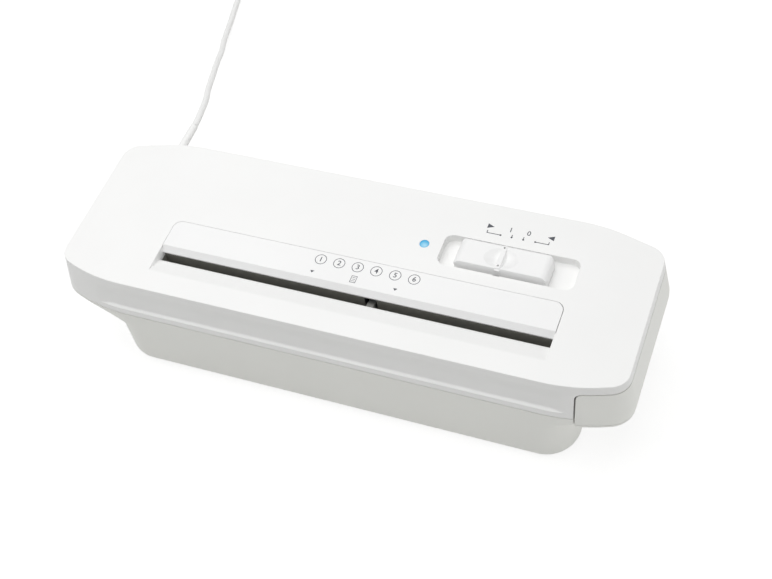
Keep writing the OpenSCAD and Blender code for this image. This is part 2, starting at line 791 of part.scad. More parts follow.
module casing_screws() {
    color(steel)
    for (x = [-1, 1], y = [-1, 1])
        screw_up([x * casing_screw_x, y * casing_screw_y], screw_low_z, screw_l, screw_r, screw_head_r);
}

module inlet_panel() {
    x = [slot_x_left, slot_x_right];
    lip_low_z = rim_z - panel_lip_h;
    color(panel_white)
    union() {
        intersection() {
            rounded_plate(x, [slot_y_back - 20, panel_y_back], [rim_z - panel_t, rim_z], panel_corner_r);
            block(x, [slot_y_back + 1, panel_y_back + 1], [rim_z - panel_t - 1, rim_z + 1]);
        }
        drawn_x(x)
            polygon(rounded(box_corners(slot_y_back, slot_y_back + wall, lip_low_z, rim_z),
                [0.4, 0.4, 1.2, 0.4], 6));
    }
}

// Guide strip between the slot and the cutters
module paper_guide(y) {
    block([left_plate_x + plate_t, right_plate_x], y, [cutter_z + disc_r + 2, slot_low_z]);
}

module front_paper_guide() {
    color(dark) paper_guide([slot_y_front - 2, slot_y_front]);
}

module rear_paper_guide() {
    color(dark)
    difference() {
        paper_guide([slot_y_back, slot_y_back + 2]);
        block(sensor_notch_x, [slot_y_back - 1, slot_y_back + 3], [sensor_axis.y - 5, slot_low_z + 1]);
    }
}

// ---------------------------------------------------------------- extension arm

arm_plate_top_z = arm_low_z + base_plate_t;

// Front view of the arm with rounded corners at the joint
module arm_side_view(z) {
    x0 = arm_joint_x + arm_gap;
    translate([0, 100, 0]) rotate([90, 0, 0]) linear_extrude(200)
        intersection() {
            polygon(rounded(box_corners(x0, 200, arm_low_z, arm_top_z),
                [1, 1, arm_corner_r, arm_low_corner_r], 6));
            translate([x0 - 1, z[0]]) square([100, z[1] - z[0]]);
        }
}

module arm_outer(z) {
    intersection() {
        loft([
            casing_ring(flare - 1.6, arm_low_z, fine),
            casing_ring(flare - 0.6, arm_low_z + 1.2, fine),
            casing_ring(flare, arm_low_z + 5, fine),
            casing_ring(flare, seam_z, fine),
            casing_ring(flare_at(arm_top_z - 0.6), arm_top_z - 0.6, fine),
            casing_ring(flare_at(arm_top_z) - 0.5, arm_top_z, fine)
        ]);
        arm_side_view(z);
    }
}

module arm_shell() {
    color(tub_white)
    difference() {
        union() {
            difference() {
                arm_outer([arm_plate_top_z, arm_top_z + 1]);
                loft([
                    casing_ring(flare - wall, arm_low_z, coarse),
                    casing_ring(flare - wall, seam_z, coarse),
                    casing_ring(flare_at(arm_top_z) - wall, arm_top_z - wall, coarse)
                ]);
            }
            for (i = [2, 3])
                post(arm_screw_points[i], boss_r, [arm_plate_top_z, arm_top_z - 1]);
        }
        for (i = [2, 3])
            post(arm_screw_points[i], screw_r, [arm_plate_top_z - 1, arm_boss_top_z]);
    }
}

module arm_base_plate() {
    color(tub_white)
    difference() {
        arm_outer([arm_low_z - 1, arm_plate_top_z]);
        for (p = arm_screw_points) {
            post(p, screw_r, [arm_low_z - 1, arm_plate_top_z + 1]);
            post(p, screw_head_r + 0.3, [arm_low_z - 1, arm_low_z + 1.4]);
        }
    }
}

// Rail with a foot that stands on the arm's base plate
module arm_rail(side) {
    foot = arm_screw_points[side < 0 ? 0 : 1];
    y = side * (rail_y + rail_t / 2);
    color(tub_white)
    difference() {
        union() {
            block([rail_left_x, foot.x + 0.5], [y - rail_t / 2, y + rail_t / 2], [rail_z, rail_z + rail_h]);
            block(beside(foot.x, -4.5, 4.5), beside(foot.y, -3.6, 3.6), [arm_plate_top_z, arm_foot_top_z]);
        }
        post(foot, screw_r, [arm_plate_top_z - 1, arm_foot_top_z - 1]);
    }
}

module arm_rail_front() {
    arm_rail(-1);
}

module arm_rail_back() {
    arm_rail(1);
}

module arm_screws() {
    color(steel)
    for (p = arm_screw_points) {
        post(p, screw_r, [arm_low_z + 1.4, arm_plate_top_z + 9]);
        post(p, screw_head_r, [arm_low_z + 0.2, arm_low_z + 1.4]);
    }
}

// ---------------------------------------------------------------- switch and light

// Knob outline shrunk by inset at height z
function knob_ring(inset_x, inset_y, z) =
    let (x = knob_l / 2 - inset_x)
    let (y = knob_w / 2 - inset_y)
    let (r = knob_corner_r)
    let (outline = rounded(box_corners(knob_x - x, knob_x + x, knob_y - y, knob_y + y), [r, r, r, r], 8))
    at_height(outline, z);

module switch_knob() {
    ridge_y = knob_w / 2 - 0.8;
    color(casing_white)
    union() {
        difference() {
            loft([
                knob_ring(0, 0, knob_base_z),
                knob_ring(0, 0, rim_z - 0.5),
                knob_ring(knob_inset_x * 0.35, knob_inset_y * 0.35, rim_z + knob_rise * 0.5),
                knob_ring(knob_inset_x * 0.7, knob_inset_y * 0.75, knob_top_z - 0.35),
                knob_ring(knob_inset_x + 0.4, knob_inset_y + 0.4, knob_top_z)
            ]);
            translate([knob_x - 0.4, knob_y, knob_top_z + 19]) sphere(r = 20.6, $fn = 96);
        }
        block(beside(knob_x, -1.5, 1.5), beside(knob_y, -ridge_y, ridge_y), [rim_z - 1, knob_top_z + 0.7]);
        block(beside(knob_x, -stem_l / 2, stem_l / 2), beside(knob_y, -stem_w / 2, stem_w / 2),
            [slider_top_z, knob_base_z + 1]);
    }
}

module switch_slider() {
    color(dark)
    union() {
        block([knob_x - 5, knob_x + 5], [knob_y - 3.4, knob_y + 3.4], [switch_top_z + 0.3, slider_top_z]);
        block([knob_x - 3, knob_x + 3], [knob_y - 1.2, knob_y + 1.2], [switch_top_z - 2, switch_top_z + 1]);
    }
}

module slide_switch() {
    channel = [knob_x - 3 - switch_step - 0.5, knob_x + 3 + 2 * switch_step + 0.5];
    color(steel)
    difference() {
        block([channel[0] - 6, channel[1] + 6], [knob_y - 4.4, knob_y + 4.4], [board_top_z, switch_top_z]);
        block(channel, [knob_y - 1.6, knob_y + 1.6], [switch_top_z - 3, switch_top_z + 1]);
    }
}

module status_lens() {
    color([0.35, 0.8, 1, 0.6])
    union() {
        post([light_x, light_y], light_r, [rim_z - 6, rim_z + 0.3]);
        post([light_x, light_y], light_r + 1.2, [rim_z - wall - 1.6, rim_z - wall]);
    }
}

module status_led() {
    color("lightskyblue")
    union() {
        post([light_x, light_y], 2.5, [board_top_z + 1, rim_z - 6]);
        post([light_x, light_y], 2.9, [board_top_z, board_top_z + 1]);
    }
}

// ---------------------------------------------------------------- electronics

module control_board() {
    color("darkgreen")
    difference() {
        block(board_x, board_y, [board_z, board_top_z]);
        for (p = board_posts)
            post(p, board_screw_r + 0.2, [board_z - 1, board_top_z + 1]);
    }
}

module board_screws() {
    color(steel)
    for (p = board_posts) {
        post(p, board_screw_r, [board_z, board_top_z + 7]);
        post(p, 2.2, [board_z - 1.4, board_z]);
    }
}

module relay() {
    color("royalblue")
        block(beside(board_x[0], 16, 35), beside(board_y[0], 4, 19.5), [board_z - 15.5, board_z]);
}

module capacitor() {
    color("goldenrod")
        block(beside(board_x[0], 42, 55), beside(board_y[0], 5, 11), [board_z - 12, board_z]);
}

module terminal_block() {
    x = beside(board_x[0], 60, 80);
    y = beside(board_y[1], -12.5, -4.5);
    pole = 5;
    color("seagreen")
    difference() {
        block(x, y, [board_z - 10, board_z]);
        for (i = [0 : 3])
            translate([x[0] + pole * (i + 0.5), y[0] - 1, board_z - 6])
                rotate([-90, 0, 0]) cylinder(r = 1.4, h = 6);
    }
}

module sensor_lever() {
    c = sensor_axis;
    color(tub_white)
    difference() {
        union() {
            bar_x(c, 2.4, [sensor_x - sensor_w / 2, sensor_x + sensor_w / 2]);
            drawn_x([sensor_x - sensor_w / 2, sensor_x + sensor_w / 2])
                polygon([
                    c + [0.5, -2], c + [0.5, 2], c + [-7.5, 6], c + [-9.5, 7], c + [-11.5, 7],
                    c + [-11.5, 5], c + [-9.5, 3]
                ]);
            drawn_x([sensor_x - sensor_w / 2, sensor_x + sensor_w / 2])
                polygon([c + [-0.5, 1.5], c + [-0.5, -1.5], c + [8, -2.8], c + [8, -1.2]]);
        }
        bar_x(c, sensor_pin_r + run_clear, [sensor_x - sensor_w, sensor_x + sensor_w]);
    }
}

module sensor_pin() {
    half = sensor_lug_out - 1;
    color(steel) bar_x(sensor_axis, sensor_pin_r, [sensor_x - half, sensor_x + half]);
}

// Torsion spring beside the lever, drawn as touching turns
module sensor_spring() {
    wire_r = 0.3;
    start_x = sensor_x + sensor_w / 2 + 0.4;
    color(steel)
    translate([start_x, sensor_axis.x, sensor_axis.y]) rotate([0, 90, 0])
        rotate_extrude($fn = 32)
        for (i = [0 : 1])
            translate([sensor_pin_r + 0.1 + wire_r, i * wire_r * 1.6 + wire_r]) circle(r = wire_r, $fn = 16);
}

module sensor_switch() {
    z = sensor_switch_z;
    color(dark)
    union() {
        block([sensor_x - 4, sensor_x + 4], sensor_switch_y, [z - 5, z]);
        block([sensor_x - 1, sensor_x + 1], beside(sensor_axis.x, 6.5, 8.5), [z - 5.8, z - 4.5]);
    }
}

// ---------------------------------------------------------------- cutter frame

module side_plate(x, outline) {
    color(steel)
    difference() {
        drawn_x([x, x + plate_t]) polygon(outline);
        for (axis = [front_axis, rear_axis])
            bar_x(axis, bush_r, [x - 1, x + plate_t + 1]);
        for (p = tie_points)
            bar_x(p, screw_r + 0.2, [x - 1, x + plate_t + 1]);
        children();
    }
}

module left_side_plate() {
    side_plate(left_plate_x, [
        [plate_front_y, plate_low_z + 6], [plate_front_y + 4, plate_low_z],
        [left_plate_back_y - 14, plate_low_z],
        [left_plate_back_y, plate_low_z + 14], [left_plate_back_y, plate_top_z],
        [left_plate_back_y - 8, left_plate_top_z], [rear_axis.x + 0.5, left_plate_top_z],
        [rear_axis.x - 3.5, plate_top_z - 2], [plate_front_y, plate_top_z - 2]
    ]) {
        bar_x(motor_axis, motor_hub_r, [left_plate_x - 1, left_plate_x + plate_t + 1]);
        for (p = motor_screw_points)
            bar_x(p, screw_r, [left_plate_x - 1, left_plate_x + plate_t + 1]);
        for (axis = [wheel_a_axis, wheel_b_axis])
            bar_x(axis, axle_r, [left_plate_x - 1, left_plate_x + plate_t + 1]);
    }
}

module right_side_plate() {
    side_plate(right_plate_x, [
        [plate_front_y, plate_low_z + 6], [plate_front_y + 4, plate_low_z],
        [right_plate_back_y + 2, plate_low_z], [right_plate_back_y + 2, plate_top_z - 8],
        [right_plate_back_y - 6, plate_top_z],
        [rear_axis.x + 0.5, plate_top_z], [rear_axis.x - 3.5, plate_top_z - 2],
        [plate_front_y, plate_top_z - 2]
    ]);
}

module tie_rods() {
    x = [left_plate_x + plate_t, right_plate_x];
    color(steel)
    difference() {
        for (p = tie_points)
            bar_x(p, tie_r, x);
        for (p = tie_points) {
            bar_x(p, screw_r, [x[0] - 1, x[0] + frame_screw_l]);
            bar_x(p, screw_r, [x[1] - frame_screw_l, x[1] + 1]);
        }
    }
}

module frame_screws() {
    head = 1.2;
    x = [left_plate_x, right_plate_x + plate_t];
    color(steel)
    for (p = tie_points) {
        bar_x(p, screw_r, [x[0], x[0] + plate_t + frame_screw_l - 1]);
        bar_x(p, screw_head_r, [x[0] - head, x[0]]);
        bar_x(p, screw_r, [x[1] - plate_t - frame_screw_l + 1, x[1]]);
        bar_x(p, screw_head_r, [x[1], x[1] + head]);
    }
}

module cutter_bushes() {
    color(brass)
    for (x = [left_plate_x, right_plate_x], axis = [front_axis, rear_axis])
        difference() {
            bar_x(axis, bush_r, [x, x + plate_t]);
            bar_x(axis, shaft_r + run_clear, [x - 1, x + plate_t + 1]);
        }
}

// Shaft from left_end with discs; shift 0 or 1 chooses which of the two disc rows it carries
module cutter(axis, shift, left_end) {
    shaft_x = [left_end, right_plate_x + plate_t + 0.3];
    spacer_x = [left_plate_x + plate_t + 0.4, right_plate_x - 0.4];
    color(steel)
    union() {
        bar_x(axis, shaft_r, shaft_x);
        bar_x(axis, spacer_r, spacer_x);
        for (i = [0 : disc_count - 1])
            let (x = slot_x_left + (2 * i + shift) * disc_pitch)
            bar_x(axis, disc_r, [x + disc_clear / 2, x + disc_pitch - disc_clear / 2]);
    }
}

module front_cutter() {
    cutter(front_axis, 1, layer_in_x - 0.5);
}

module rear_cutter() {
    cutter(rear_axis, 0, cover_x);
}

// Comb that clears strips out of the gaps between the discs of one cutter
module stripper_comb(axis, side, shift) {
    finger_clear = 0.5;
    bar_in = axis.x + side * (disc_r + comb_clear);
    bar_out = bar_in + side * comb_bar_t;
    z = [axis.y - 7, axis.y + 7];
    color(nylon)
    union() {
        block([left_plate_x + plate_t, right_plate_x], [min(bar_in, bar_out), max(bar_in, bar_out)], z);
        difference() {
            for (i = [0 : disc_count - 1])
                let (x = slot_x_left + (2 * i + shift) * disc_pitch)
                block([x + finger_clear, x + disc_pitch - finger_clear],
                    [min(axis.x + side * 5, bar_in + side), max(axis.x + side * 5, bar_in + side)],
                    [z[0] + 1, z[1] - 1]);
            bar_x(axis, spacer_r + 0.4, [slot_x_left - 5, slot_x_right + 5]);
        }
    }
}

module front_stripper_comb() {
    stripper_comb(front_axis, -1, 0);
}

module rear_stripper_comb() {
    stripper_comb(rear_axis, 1, 1);
}

// ---------------------------------------------------------------- gear train

layer_in = beside(layer_in_x, 0, gear_w);
layer_mid = beside(layer_mid_x, 0, gear_w);
layer_out = beside(layer_out_x, 0, drive_w);

module fixed_gear(axis, m, teeth, turn, x, bore) {
    difference() {
        gear_x(axis, m, teeth, turn, x);
        bar_x(axis, bore, [x[0] - 1, x[1] + 1]);
    }
}

module rear_sync_gear() {
    color(steel) fixed_gear(rear_axis, module_out, sync_teeth, 0, layer_in, shaft_r);
}

module front_sync_gear() {
    color(steel) fixed_gear(front_axis, module_out, sync_teeth, sync_turn, layer_in, shaft_r);
}

module drive_gear() {
    color(steel) fixed_gear(rear_axis, module_out, drive_teeth, 0, layer_out, shaft_r);
}

module intermediate_gear_a() {
    color(nylon)
    difference() {
        union() {
            gear_x(wheel_a_axis, module_mid, wheel_a_teeth, pinion_a_turn, layer_mid);
            gear_x(wheel_a_axis, module_out, pinion_teeth, pinion_a_turn, [layer_out_x, layer_mid_x + 1]);
        }
        bar_x(wheel_a_axis, axle_r + run_clear, [layer_out_x - 1, layer_mid_x + gear_w + 1]);
    }
}

module intermediate_gear_b() {
    color(nylon)
    difference() {
        union() {
            gear_x(wheel_b_axis, module_in, wheel_b_teeth, pinion_b_turn, layer_in);
            gear_x(wheel_b_axis, module_mid, pinion_teeth, pinion_b_turn, [layer_mid_x, layer_in_x + 1]);
        }
        bar_x(wheel_b_axis, axle_r + run_clear, [layer_mid_x - 1, layer_in_x + gear_w + 1]);
    }
}

module gear_axles() {
    color(steel) {
        bar_x(wheel_a_axis, axle_r, [cover_x, left_plate_x + plate_t]);
        bar_x(wheel_b_axis, axle_r, [layer_mid_x - 0.4, left_plate_x + plate_t]);
    }
}

module gearbox_cover() {
    color(dark)
    difference() {
        union() {
            drawn_x([cover_x, cover_x + cover_t]) translate(rear_axis) polygon(cover_outline);
            for (p = cover_posts)
                bar_x(p, 2.4, [cover_x + 0.5, left_plate_x]);
        }
        bar_x(rear_axis, shaft_r + run_clear, [cover_x - 1, cover_x + cover_t + 1]);
        bar_x(wheel_a_axis, axle_r, [cover_x - 1, cover_x + cover_t + 1]);
    }
}

// ---------------------------------------------------------------- motor

module motor_pinion() {
    color(brass)
        fixed_gear(motor_axis, module_in, pinion_teeth, motor_turn, layer_in, motor_shaft_r);
}

module motor_shaft() {
    color(steel) bar_x(motor_axis, motor_shaft_r, [layer_in_x, motor_front_x + motor_l - 4]);
}

module motor_can() {
    front = motor_front_x;
    color(steel)
    difference() {
        bar_x(motor_axis, motor_r, [front, front + motor_l]);
        bar_x(motor_axis, motor_r - can_t, [front + can_t, front + motor_l + 1]);
        bar_x(motor_axis, motor_shaft_r + run_clear, [front - 1, front + 2]);
        for (p = motor_screw_points)
            bar_x(p, screw_r, [front - 1, front + 2]);
    }
}

module motor_end_cap() {
    back = motor_front_x + motor_l;
    color(dark)
    difference() {
        union() {
            bar_x(motor_axis, motor_r - can_t - seat_clear, [back - 3, back]);
            bar_x(motor_axis, motor_r, [back, back + 2]);
            for (y = [-1, 1])
                block([back + 1, back + 7], [motor_axis.x + 9 * y - 1.5, motor_axis.x + 9 * y + 1.5],
                    [motor_axis.y - 0.4, motor_axis.y + 0.4]);
        }
        bar_x(motor_axis, motor_shaft_r + run_clear, [back - 5, back - 1]);
    }
}

module motor_screws() {
    color(steel)
    for (p = motor_screw_points) {
        bar_x(p, screw_r, [left_plate_x, motor_front_x + can_t]);
        bar_x(p, screw_head_r, [left_plate_x - 0.8, left_plate_x]);
    }
}

module thermal_cutout() {
    x = beside(motor_front_x + motor_l / 2, -7, 7);
    color("ivory")
    difference() {
        block(x, beside(motor_axis.x, -5, 5), [motor_axis.y + 10, motor_axis.y + motor_r + 4]);
        bar_x(motor_axis, motor_r + seat_clear, [x[0] - 1, x[1] + 1]);
    }
}

// ---------------------------------------------------------------- cord

module strain_relief() {
    tip_r = cord_r + 0.5;
    color(casing_white)
    translate([cord_x, relief_y, cord_z]) rotate([-90, 0, 0])
        union() {
            translate([0, 0, -relief_flange_t]) cylinder(r = relief_flange_r, h = relief_flange_t);
            cylinder(d = relief_d, h = 6);
            translate([0, 0, 6]) cylinder(r1 = relief_d / 2, r2 = tip_r, h = relief_tip_y - relief_y - 6);
        }
}

// Body of the cord clamp behind the strain relief, grown by a clearance
module cord_clamp_block(clear) {
    half = 7 + clear;
    y = relief_y - relief_flange_t;
    block(beside(cord_x, -half, half), [y - 8 - clear, y], beside(cord_z, -5 - clear, 5 + clear));
}

module cord_clamp() {
    color(dark)
    difference() {
        cord_clamp_block(0);
        translate([cord_x, relief_y - 20, cord_z]) rotate([-90, 0, 0]) cylinder(r = cord_r, h = 20);
    }
}

// Tube of eight sides swept along a route
function along(route, i) =
    let (n = len(route))
    toward(route[max(i - 1, 0)], route[min(i + 1, n - 1)]);
function tube_ring(route, i, r) =
    let (t = along(route, i))
    let (side = cross(t, [0, 0, 1]) / norm(cross(t, [0, 0, 1])))
    let (up = cross(side, t))
    [for (k = [0 : 7]) route[i] + r * (cos(45 * k) * side + sin(45 * k) * up)];

module tube(route, r) {
    n = len(route);
    polyhedron(
        points = [for (i = [0 : n - 1]) each tube_ring(route, i, r)],
        faces = concat(
            [[for (k = [0 : 7]) k]],
            [[for (k = [7 : -1 : 0]) (n - 1) * 8 + k]],
            [for (i = [0 : n - 2], k = [0 : 7]) [i * 8 + k, (i + 1) * 8 + k, (i + 1) * 8 + next(k, 8)]],
            [for (i = [0 : n - 2], k = [0 : 7]) [i * 8 + k, (i + 1) * 8 + next(k, 8), i * 8 + next(k, 8)]]
        )
    );
}

// The cord keeps its shape and moves with its exit
module at_exit() {
    translate([cord_x, relief_tip_y, cord_z] - cord_route[0]) children();
}

module cord_tube() {
    color(casing_white) at_exit() tube(cord_route, cord_r);
}

module cord_coil() {
    corners = box_corners(-coil_w / 2, coil_w / 2, 0.1, coil_h + 0.1);
    color(casing_white) at_exit()
    translate([coil_centre.x, coil_centre.y, 0])
        rotate_extrude($fn = 64)
        translate([coil_mid_r, 0])
        polygon(rounded(corners, [cord_r, cord_r, cord_r, cord_r], 4));
}

// Band bent over the coil, with its two ends down beside it
module cord_tie() {
    inner = coil_w / 2 + 0.1;
    outer = coil_w / 2 + 1;
    color(dark) at_exit()
    translate([coil_centre.x + coil_mid_r, coil_centre.y, 0])
    difference() {
        block([-outer, outer], [-2, 2], [0.02, coil_h + 1.1]);
        block([-inner, inner], [-3, 3], [-1, coil_h + 0.1]);
    }
}

module cord_tail() {
    color(casing_white) at_exit() tube(tail_route, cord_r);
}

module plug_body() {
    start = tail_route[len(tail_route) - 1];
    color(casing_white) at_exit()
    translate([start.x, start.y, start.z])
        union() {
            rotate([0, 90, 0]) cylinder(r1 = cord_r + 0.6, r2 = 4, h = plug_relief_l + 1);
            translate([plug_relief_l, 0, -plug_h / 2]) linear_extrude(plug_h)
                polygon([
                    [0, -6], [plug_l * 0.3, -plug_w * 0.38], [plug_l * 0.7, -plug_w / 2],
                    [plug_l, -plug_w / 2], [plug_l, plug_w / 2],
                    [plug_l * 0.7, plug_w / 2], [plug_l * 0.3, plug_w * 0.38], [0, 6]
                ]);
        }
}

module plug_pins() {
    start = tail_route[len(tail_route) - 1];
    color(steel) at_exit()
    for (side = [-1, 1])
        translate([start.x + plug_relief_l + plug_l, start.y + side * pin_gap / 2, start.z])
            rotate([0, 90, 0]) cylinder(r = pin_r, h = pin_l);
}

// ---------------------------------------------------------------- drawing

upper_casing();
lower_casing();
inlet_panel();
front_paper_guide();
rear_paper_guide();
casing_screws();
arm_shell();
arm_base_plate();
arm_rail_front();
arm_rail_back();
arm_screws();
switch_knob();
switch_slider();
slide_switch();
status_lens();
status_led();
control_board();
board_screws();
relay();
capacitor();
terminal_block();
sensor_lever();
sensor_pin();
sensor_spring();
sensor_switch();
left_side_plate();
right_side_plate();
tie_rods();
frame_screws();
cutter_bushes();
front_cutter();
rear_cutter();
front_stripper_comb();
rear_stripper_comb();
front_sync_gear();
rear_sync_gear();
drive_gear();
intermediate_gear_a();
intermediate_gear_b();
gear_axles();
gearbox_cover();
motor_pinion();
motor_shaft();
motor_can();
motor_end_cap();
motor_screws();
thermal_cutout();
strain_relief();
cord_clamp();
cord_tube();
cord_coil();
cord_tie();
cord_tail();
plug_body();
plug_pins();
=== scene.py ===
"""Looks of a strip-cut paper shredder head: moulded shells, panel, knob, marks, cord and materials."""
import json
import math

import bmesh
import bpy
import numpy as np
from mathutils import Matrix, Vector


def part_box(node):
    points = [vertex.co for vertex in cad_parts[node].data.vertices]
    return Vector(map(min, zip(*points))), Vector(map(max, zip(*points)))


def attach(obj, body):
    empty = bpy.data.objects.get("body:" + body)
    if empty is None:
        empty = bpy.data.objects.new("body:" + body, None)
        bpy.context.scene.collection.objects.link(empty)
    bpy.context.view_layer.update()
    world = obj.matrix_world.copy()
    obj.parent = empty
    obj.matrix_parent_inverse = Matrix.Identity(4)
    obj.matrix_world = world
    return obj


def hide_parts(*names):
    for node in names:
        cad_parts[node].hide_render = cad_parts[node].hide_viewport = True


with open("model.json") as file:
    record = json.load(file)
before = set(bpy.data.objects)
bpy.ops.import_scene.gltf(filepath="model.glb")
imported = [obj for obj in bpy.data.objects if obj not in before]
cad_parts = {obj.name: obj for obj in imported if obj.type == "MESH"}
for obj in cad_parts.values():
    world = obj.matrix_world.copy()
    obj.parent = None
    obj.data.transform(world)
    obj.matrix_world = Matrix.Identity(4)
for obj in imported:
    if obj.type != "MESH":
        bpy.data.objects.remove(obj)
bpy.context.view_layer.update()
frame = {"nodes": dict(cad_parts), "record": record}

MM = 0.001
scene = bpy.context.scene


def corners_mm(node):
    """Lowest and highest corner of a CAD node, in millimetres."""
    lo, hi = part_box(node)
    return np.array(lo) / MM, np.array(hi) / MM


# ---------------------------------------------------------------- camera

EYE = Vector((0.23538, -0.39102, 0.62874))
LOOK_AT = Vector((0.0203, -0.0089, 0.0584))
ROLL = math.radians(-11.6)

back = (EYE - LOOK_AT).normalized()
level = Vector((0, 0, 1)).cross(back).normalized()
right = level * math.cos(ROLL) + back.cross(level) * math.sin(ROLL)
camera_data = bpy.data.cameras.new("camera")
camera_data.sensor_width = 36
camera_data.lens = 62.41
camera_data.clip_start, camera_data.clip_end = 0.02, 30
camera = bpy.data.objects.new("camera", camera_data)
scene.collection.objects.link(camera)
facing = Matrix((right, back.cross(right), back)).transposed().to_4x4()
camera.matrix_world = Matrix.Translation(EYE) @ facing
scene.camera = camera

# ---------------------------------------------------------------- cord

CORD_D = 4.0
ROUTE = [
    (-135, 76, 60), (-136, 83, 59), (-139, 94, 56), (-144, 107, 50), (-151, 121, 43),
    (-158, 137, 35), (-165, 153, 27), (-172, 169, 19), (-178, 185, 12), (-184, 200, 7), (-188, 213, 4),
    (-191, 225, 2.1), (-194, 240, 2.1), (-196, 252, 2.1), (-198, 267, 2.1),
    (-198.5, 279, 2.1), (-198, 290, 2.1),
]
TAIL = [(-166, 322, 6.1), (-157, 322, 6.2), (-148, 321.5, 6.6), (-140, 320.5, 7)]
COIL_CENTRE = (-166, 290)
COIL_INNER, COIL_OUTER = 16.0, 32.0
COIL_LOW_TURNS, COIL_CLIMB, COIL_TURNS = 4.0, 0.3, 8.25
COIL_STEPS = 20
LAYER_LOW, LAYER_HIGH = 2.1, 6.1


def coil_point(turn):
    """Point of the coil after so many turns: inward on the floor, up one diameter, and outward on top."""
    if turn < COIL_LOW_TURNS:
        r, z = COIL_OUTER - CORD_D * turn, LAYER_LOW
    elif turn < COIL_LOW_TURNS + COIL_CLIMB:
        r, z = COIL_INNER, LAYER_LOW + CORD_D * (turn - COIL_LOW_TURNS) / COIL_CLIMB
    else:
        out = (turn - COIL_LOW_TURNS - COIL_CLIMB) / (COIL_TURNS - COIL_LOW_TURNS - COIL_CLIMB)
        r, z = COIL_INNER + (COIL_OUTER - COIL_INNER) * out, LAYER_HIGH
    a = math.pi * (1 - 2 * turn)
    return COIL_CENTRE[0] + r * math.cos(a), COIL_CENTRE[1] + r * math.sin(a), z


def smooth_through(points, steps):
    """Points of a smooth curve that passes through the given ones."""
    p = [np.array(q, float) for q in points]
    p = [2 * p[0] - p[1]] + p + [2 * p[-1] - p[-2]]
    out = []
    for a, b, c, d in zip(p, p[1:], p[2:], p[3:]):
        for k in range(steps):
            t = k / steps
            out.append(0.5 * (2 * b + (c - a) * t + (2 * a - 5 * b + 4 * c - d) * t * t
                              + (3 * b - 3 * c + d - a) * t ** 3))
    return out + [p[-2]]


coil = [coil_point(k / COIL_STEPS) for k in range(1, int(COIL_TURNS * COIL_STEPS))]
cord_line = smooth_through(ROUTE + coil + TAIL, 3)
cord_curve = bpy.data.curves.new("mains_cord", "CURVE")
cord_curve.dimensions = "3D"
cord_curve.bevel_depth = CORD_D / 2 * MM
cord_curve.bevel_resolution = 5
cord_curve.use_fill_caps = True
spline = cord_curve.splines.new("POLY")
spline.points.add(len(cord_line) - 1)
for point, q in zip(spline.points, cord_line):
    point.co = (q[0] * MM, q[1] * MM, q[2] * MM, 1)
spline.use_smooth = True
mains_cord = bpy.data.objects.new("mains_cord", cord_curve)
scene.collection.objects.link(mains_cord)

# ---------------------------------------------------------------- materials


class Nodes:
    """A material's node tree, built a node at a time."""

    def __init__(self, name):
        self.material = bpy.data.materials.new(name)
        self.material.use_nodes = True
        self.tree = self.material.node_tree
        self.tree.nodes.clear()
        self.out = self.add("ShaderNodeOutputMaterial")
        self.place = self.add("ShaderNodeTexCoord").outputs["Object"]

    def add(self, kind, **settings):
        """New node of a kind, with its properties set."""
        node = self.tree.nodes.new(kind)
        for key, value in settings.items():
            setattr(node, key, value)
        return node

    def link(self, a, b):
        self.tree.links.new(a, b)

    def noise(self, scale, detail=2.0, rough=0.5, stretch=None):
        """Noise in object space, which may be drawn out along an axis."""
        node = self.add("ShaderNodeTexNoise")
        node.inputs["Scale"].default_value = scale
        node.inputs["Detail"].default_value = detail
        node.inputs["Roughness"].default_value = rough
        place = self.place
        if stretch:
            mapping = self.add("ShaderNodeMapping")
            mapping.inputs["Scale"].default_value = stretch
            self.link(place, mapping.inputs["Vector"])
            place = mapping.outputs["Vector"]
        self.link(place, node.inputs["Vector"])
        return node.outputs["Fac"]

    def ramp(self, value, low, high, at=(0.3, 0.7)):
        """Colour that goes from low to high between two values."""
        node = self.add("ShaderNodeValToRGB")
        for stop, where, colour in zip(node.color_ramp.elements, at, (low, high)):
            stop.position = where
            stop.color = (*colour, 1)
        self.link(value, node.inputs["Fac"])
        return node.outputs["Color"]

    def spread(self, value, low, high):
        """Noise value stretched to a range."""
        node = self.add("ShaderNodeMapRange")
        node.inputs["From Min"].default_value, node.inputs["From Max"].default_value = 0.25, 0.75
        node.inputs["To Min"].default_value, node.inputs["To Max"].default_value = low, high
        self.link(value, node.inputs["Value"])
        return node.outputs["Result"]

    def bump(self, height, strength, distance, normal=None):
        """Normal that follows a height, on top of another normal where one is given."""
        node = self.add("ShaderNodeBump")
        node.inputs["Strength"].default_value = strength
        node.inputs["Distance"].default_value = distance
        self.link(height, node.inputs["Height"])
        if normal:
            self.link(normal, node.inputs["Normal"])
        return node.outputs["Normal"]


def tint(colour, share):
    """Colour made lighter or darker by a share."""
    return tuple(min(1.0, c * share) for c in colour)


def plastic(name, colour, rough, grain=1500, grain_depth=0.12, edge=0.0003, spread=0.012):
    """Moulded plastic: fine spark-erosion grain, faint flow clouds and softly broken edges."""
    n = Nodes(name)
    shader = n.add("ShaderNodeBsdfPrincipled")
    clouds = n.noise(18, 3)
    n.link(n.ramp(clouds, tint(colour, 1 - spread), tint(colour, 1 + spread)), shader.inputs["Base Color"])
    n.link(n.spread(n.noise(420, 3), rough - 0.02, rough + 0.02), shader.inputs["Roughness"])
    soft = None
    if edge:
        bevel = n.add("ShaderNodeBevel", samples=4)
        bevel.inputs["Radius"].default_value = edge
        soft = bevel.outputs["Normal"]
    n.link(n.bump(n.noise(grain, 3, 0.6), grain_depth, 0.00006, soft), shader.inputs["Normal"])
    n.link(shader.outputs[0], n.out.inputs["Surface"])
    return n.material


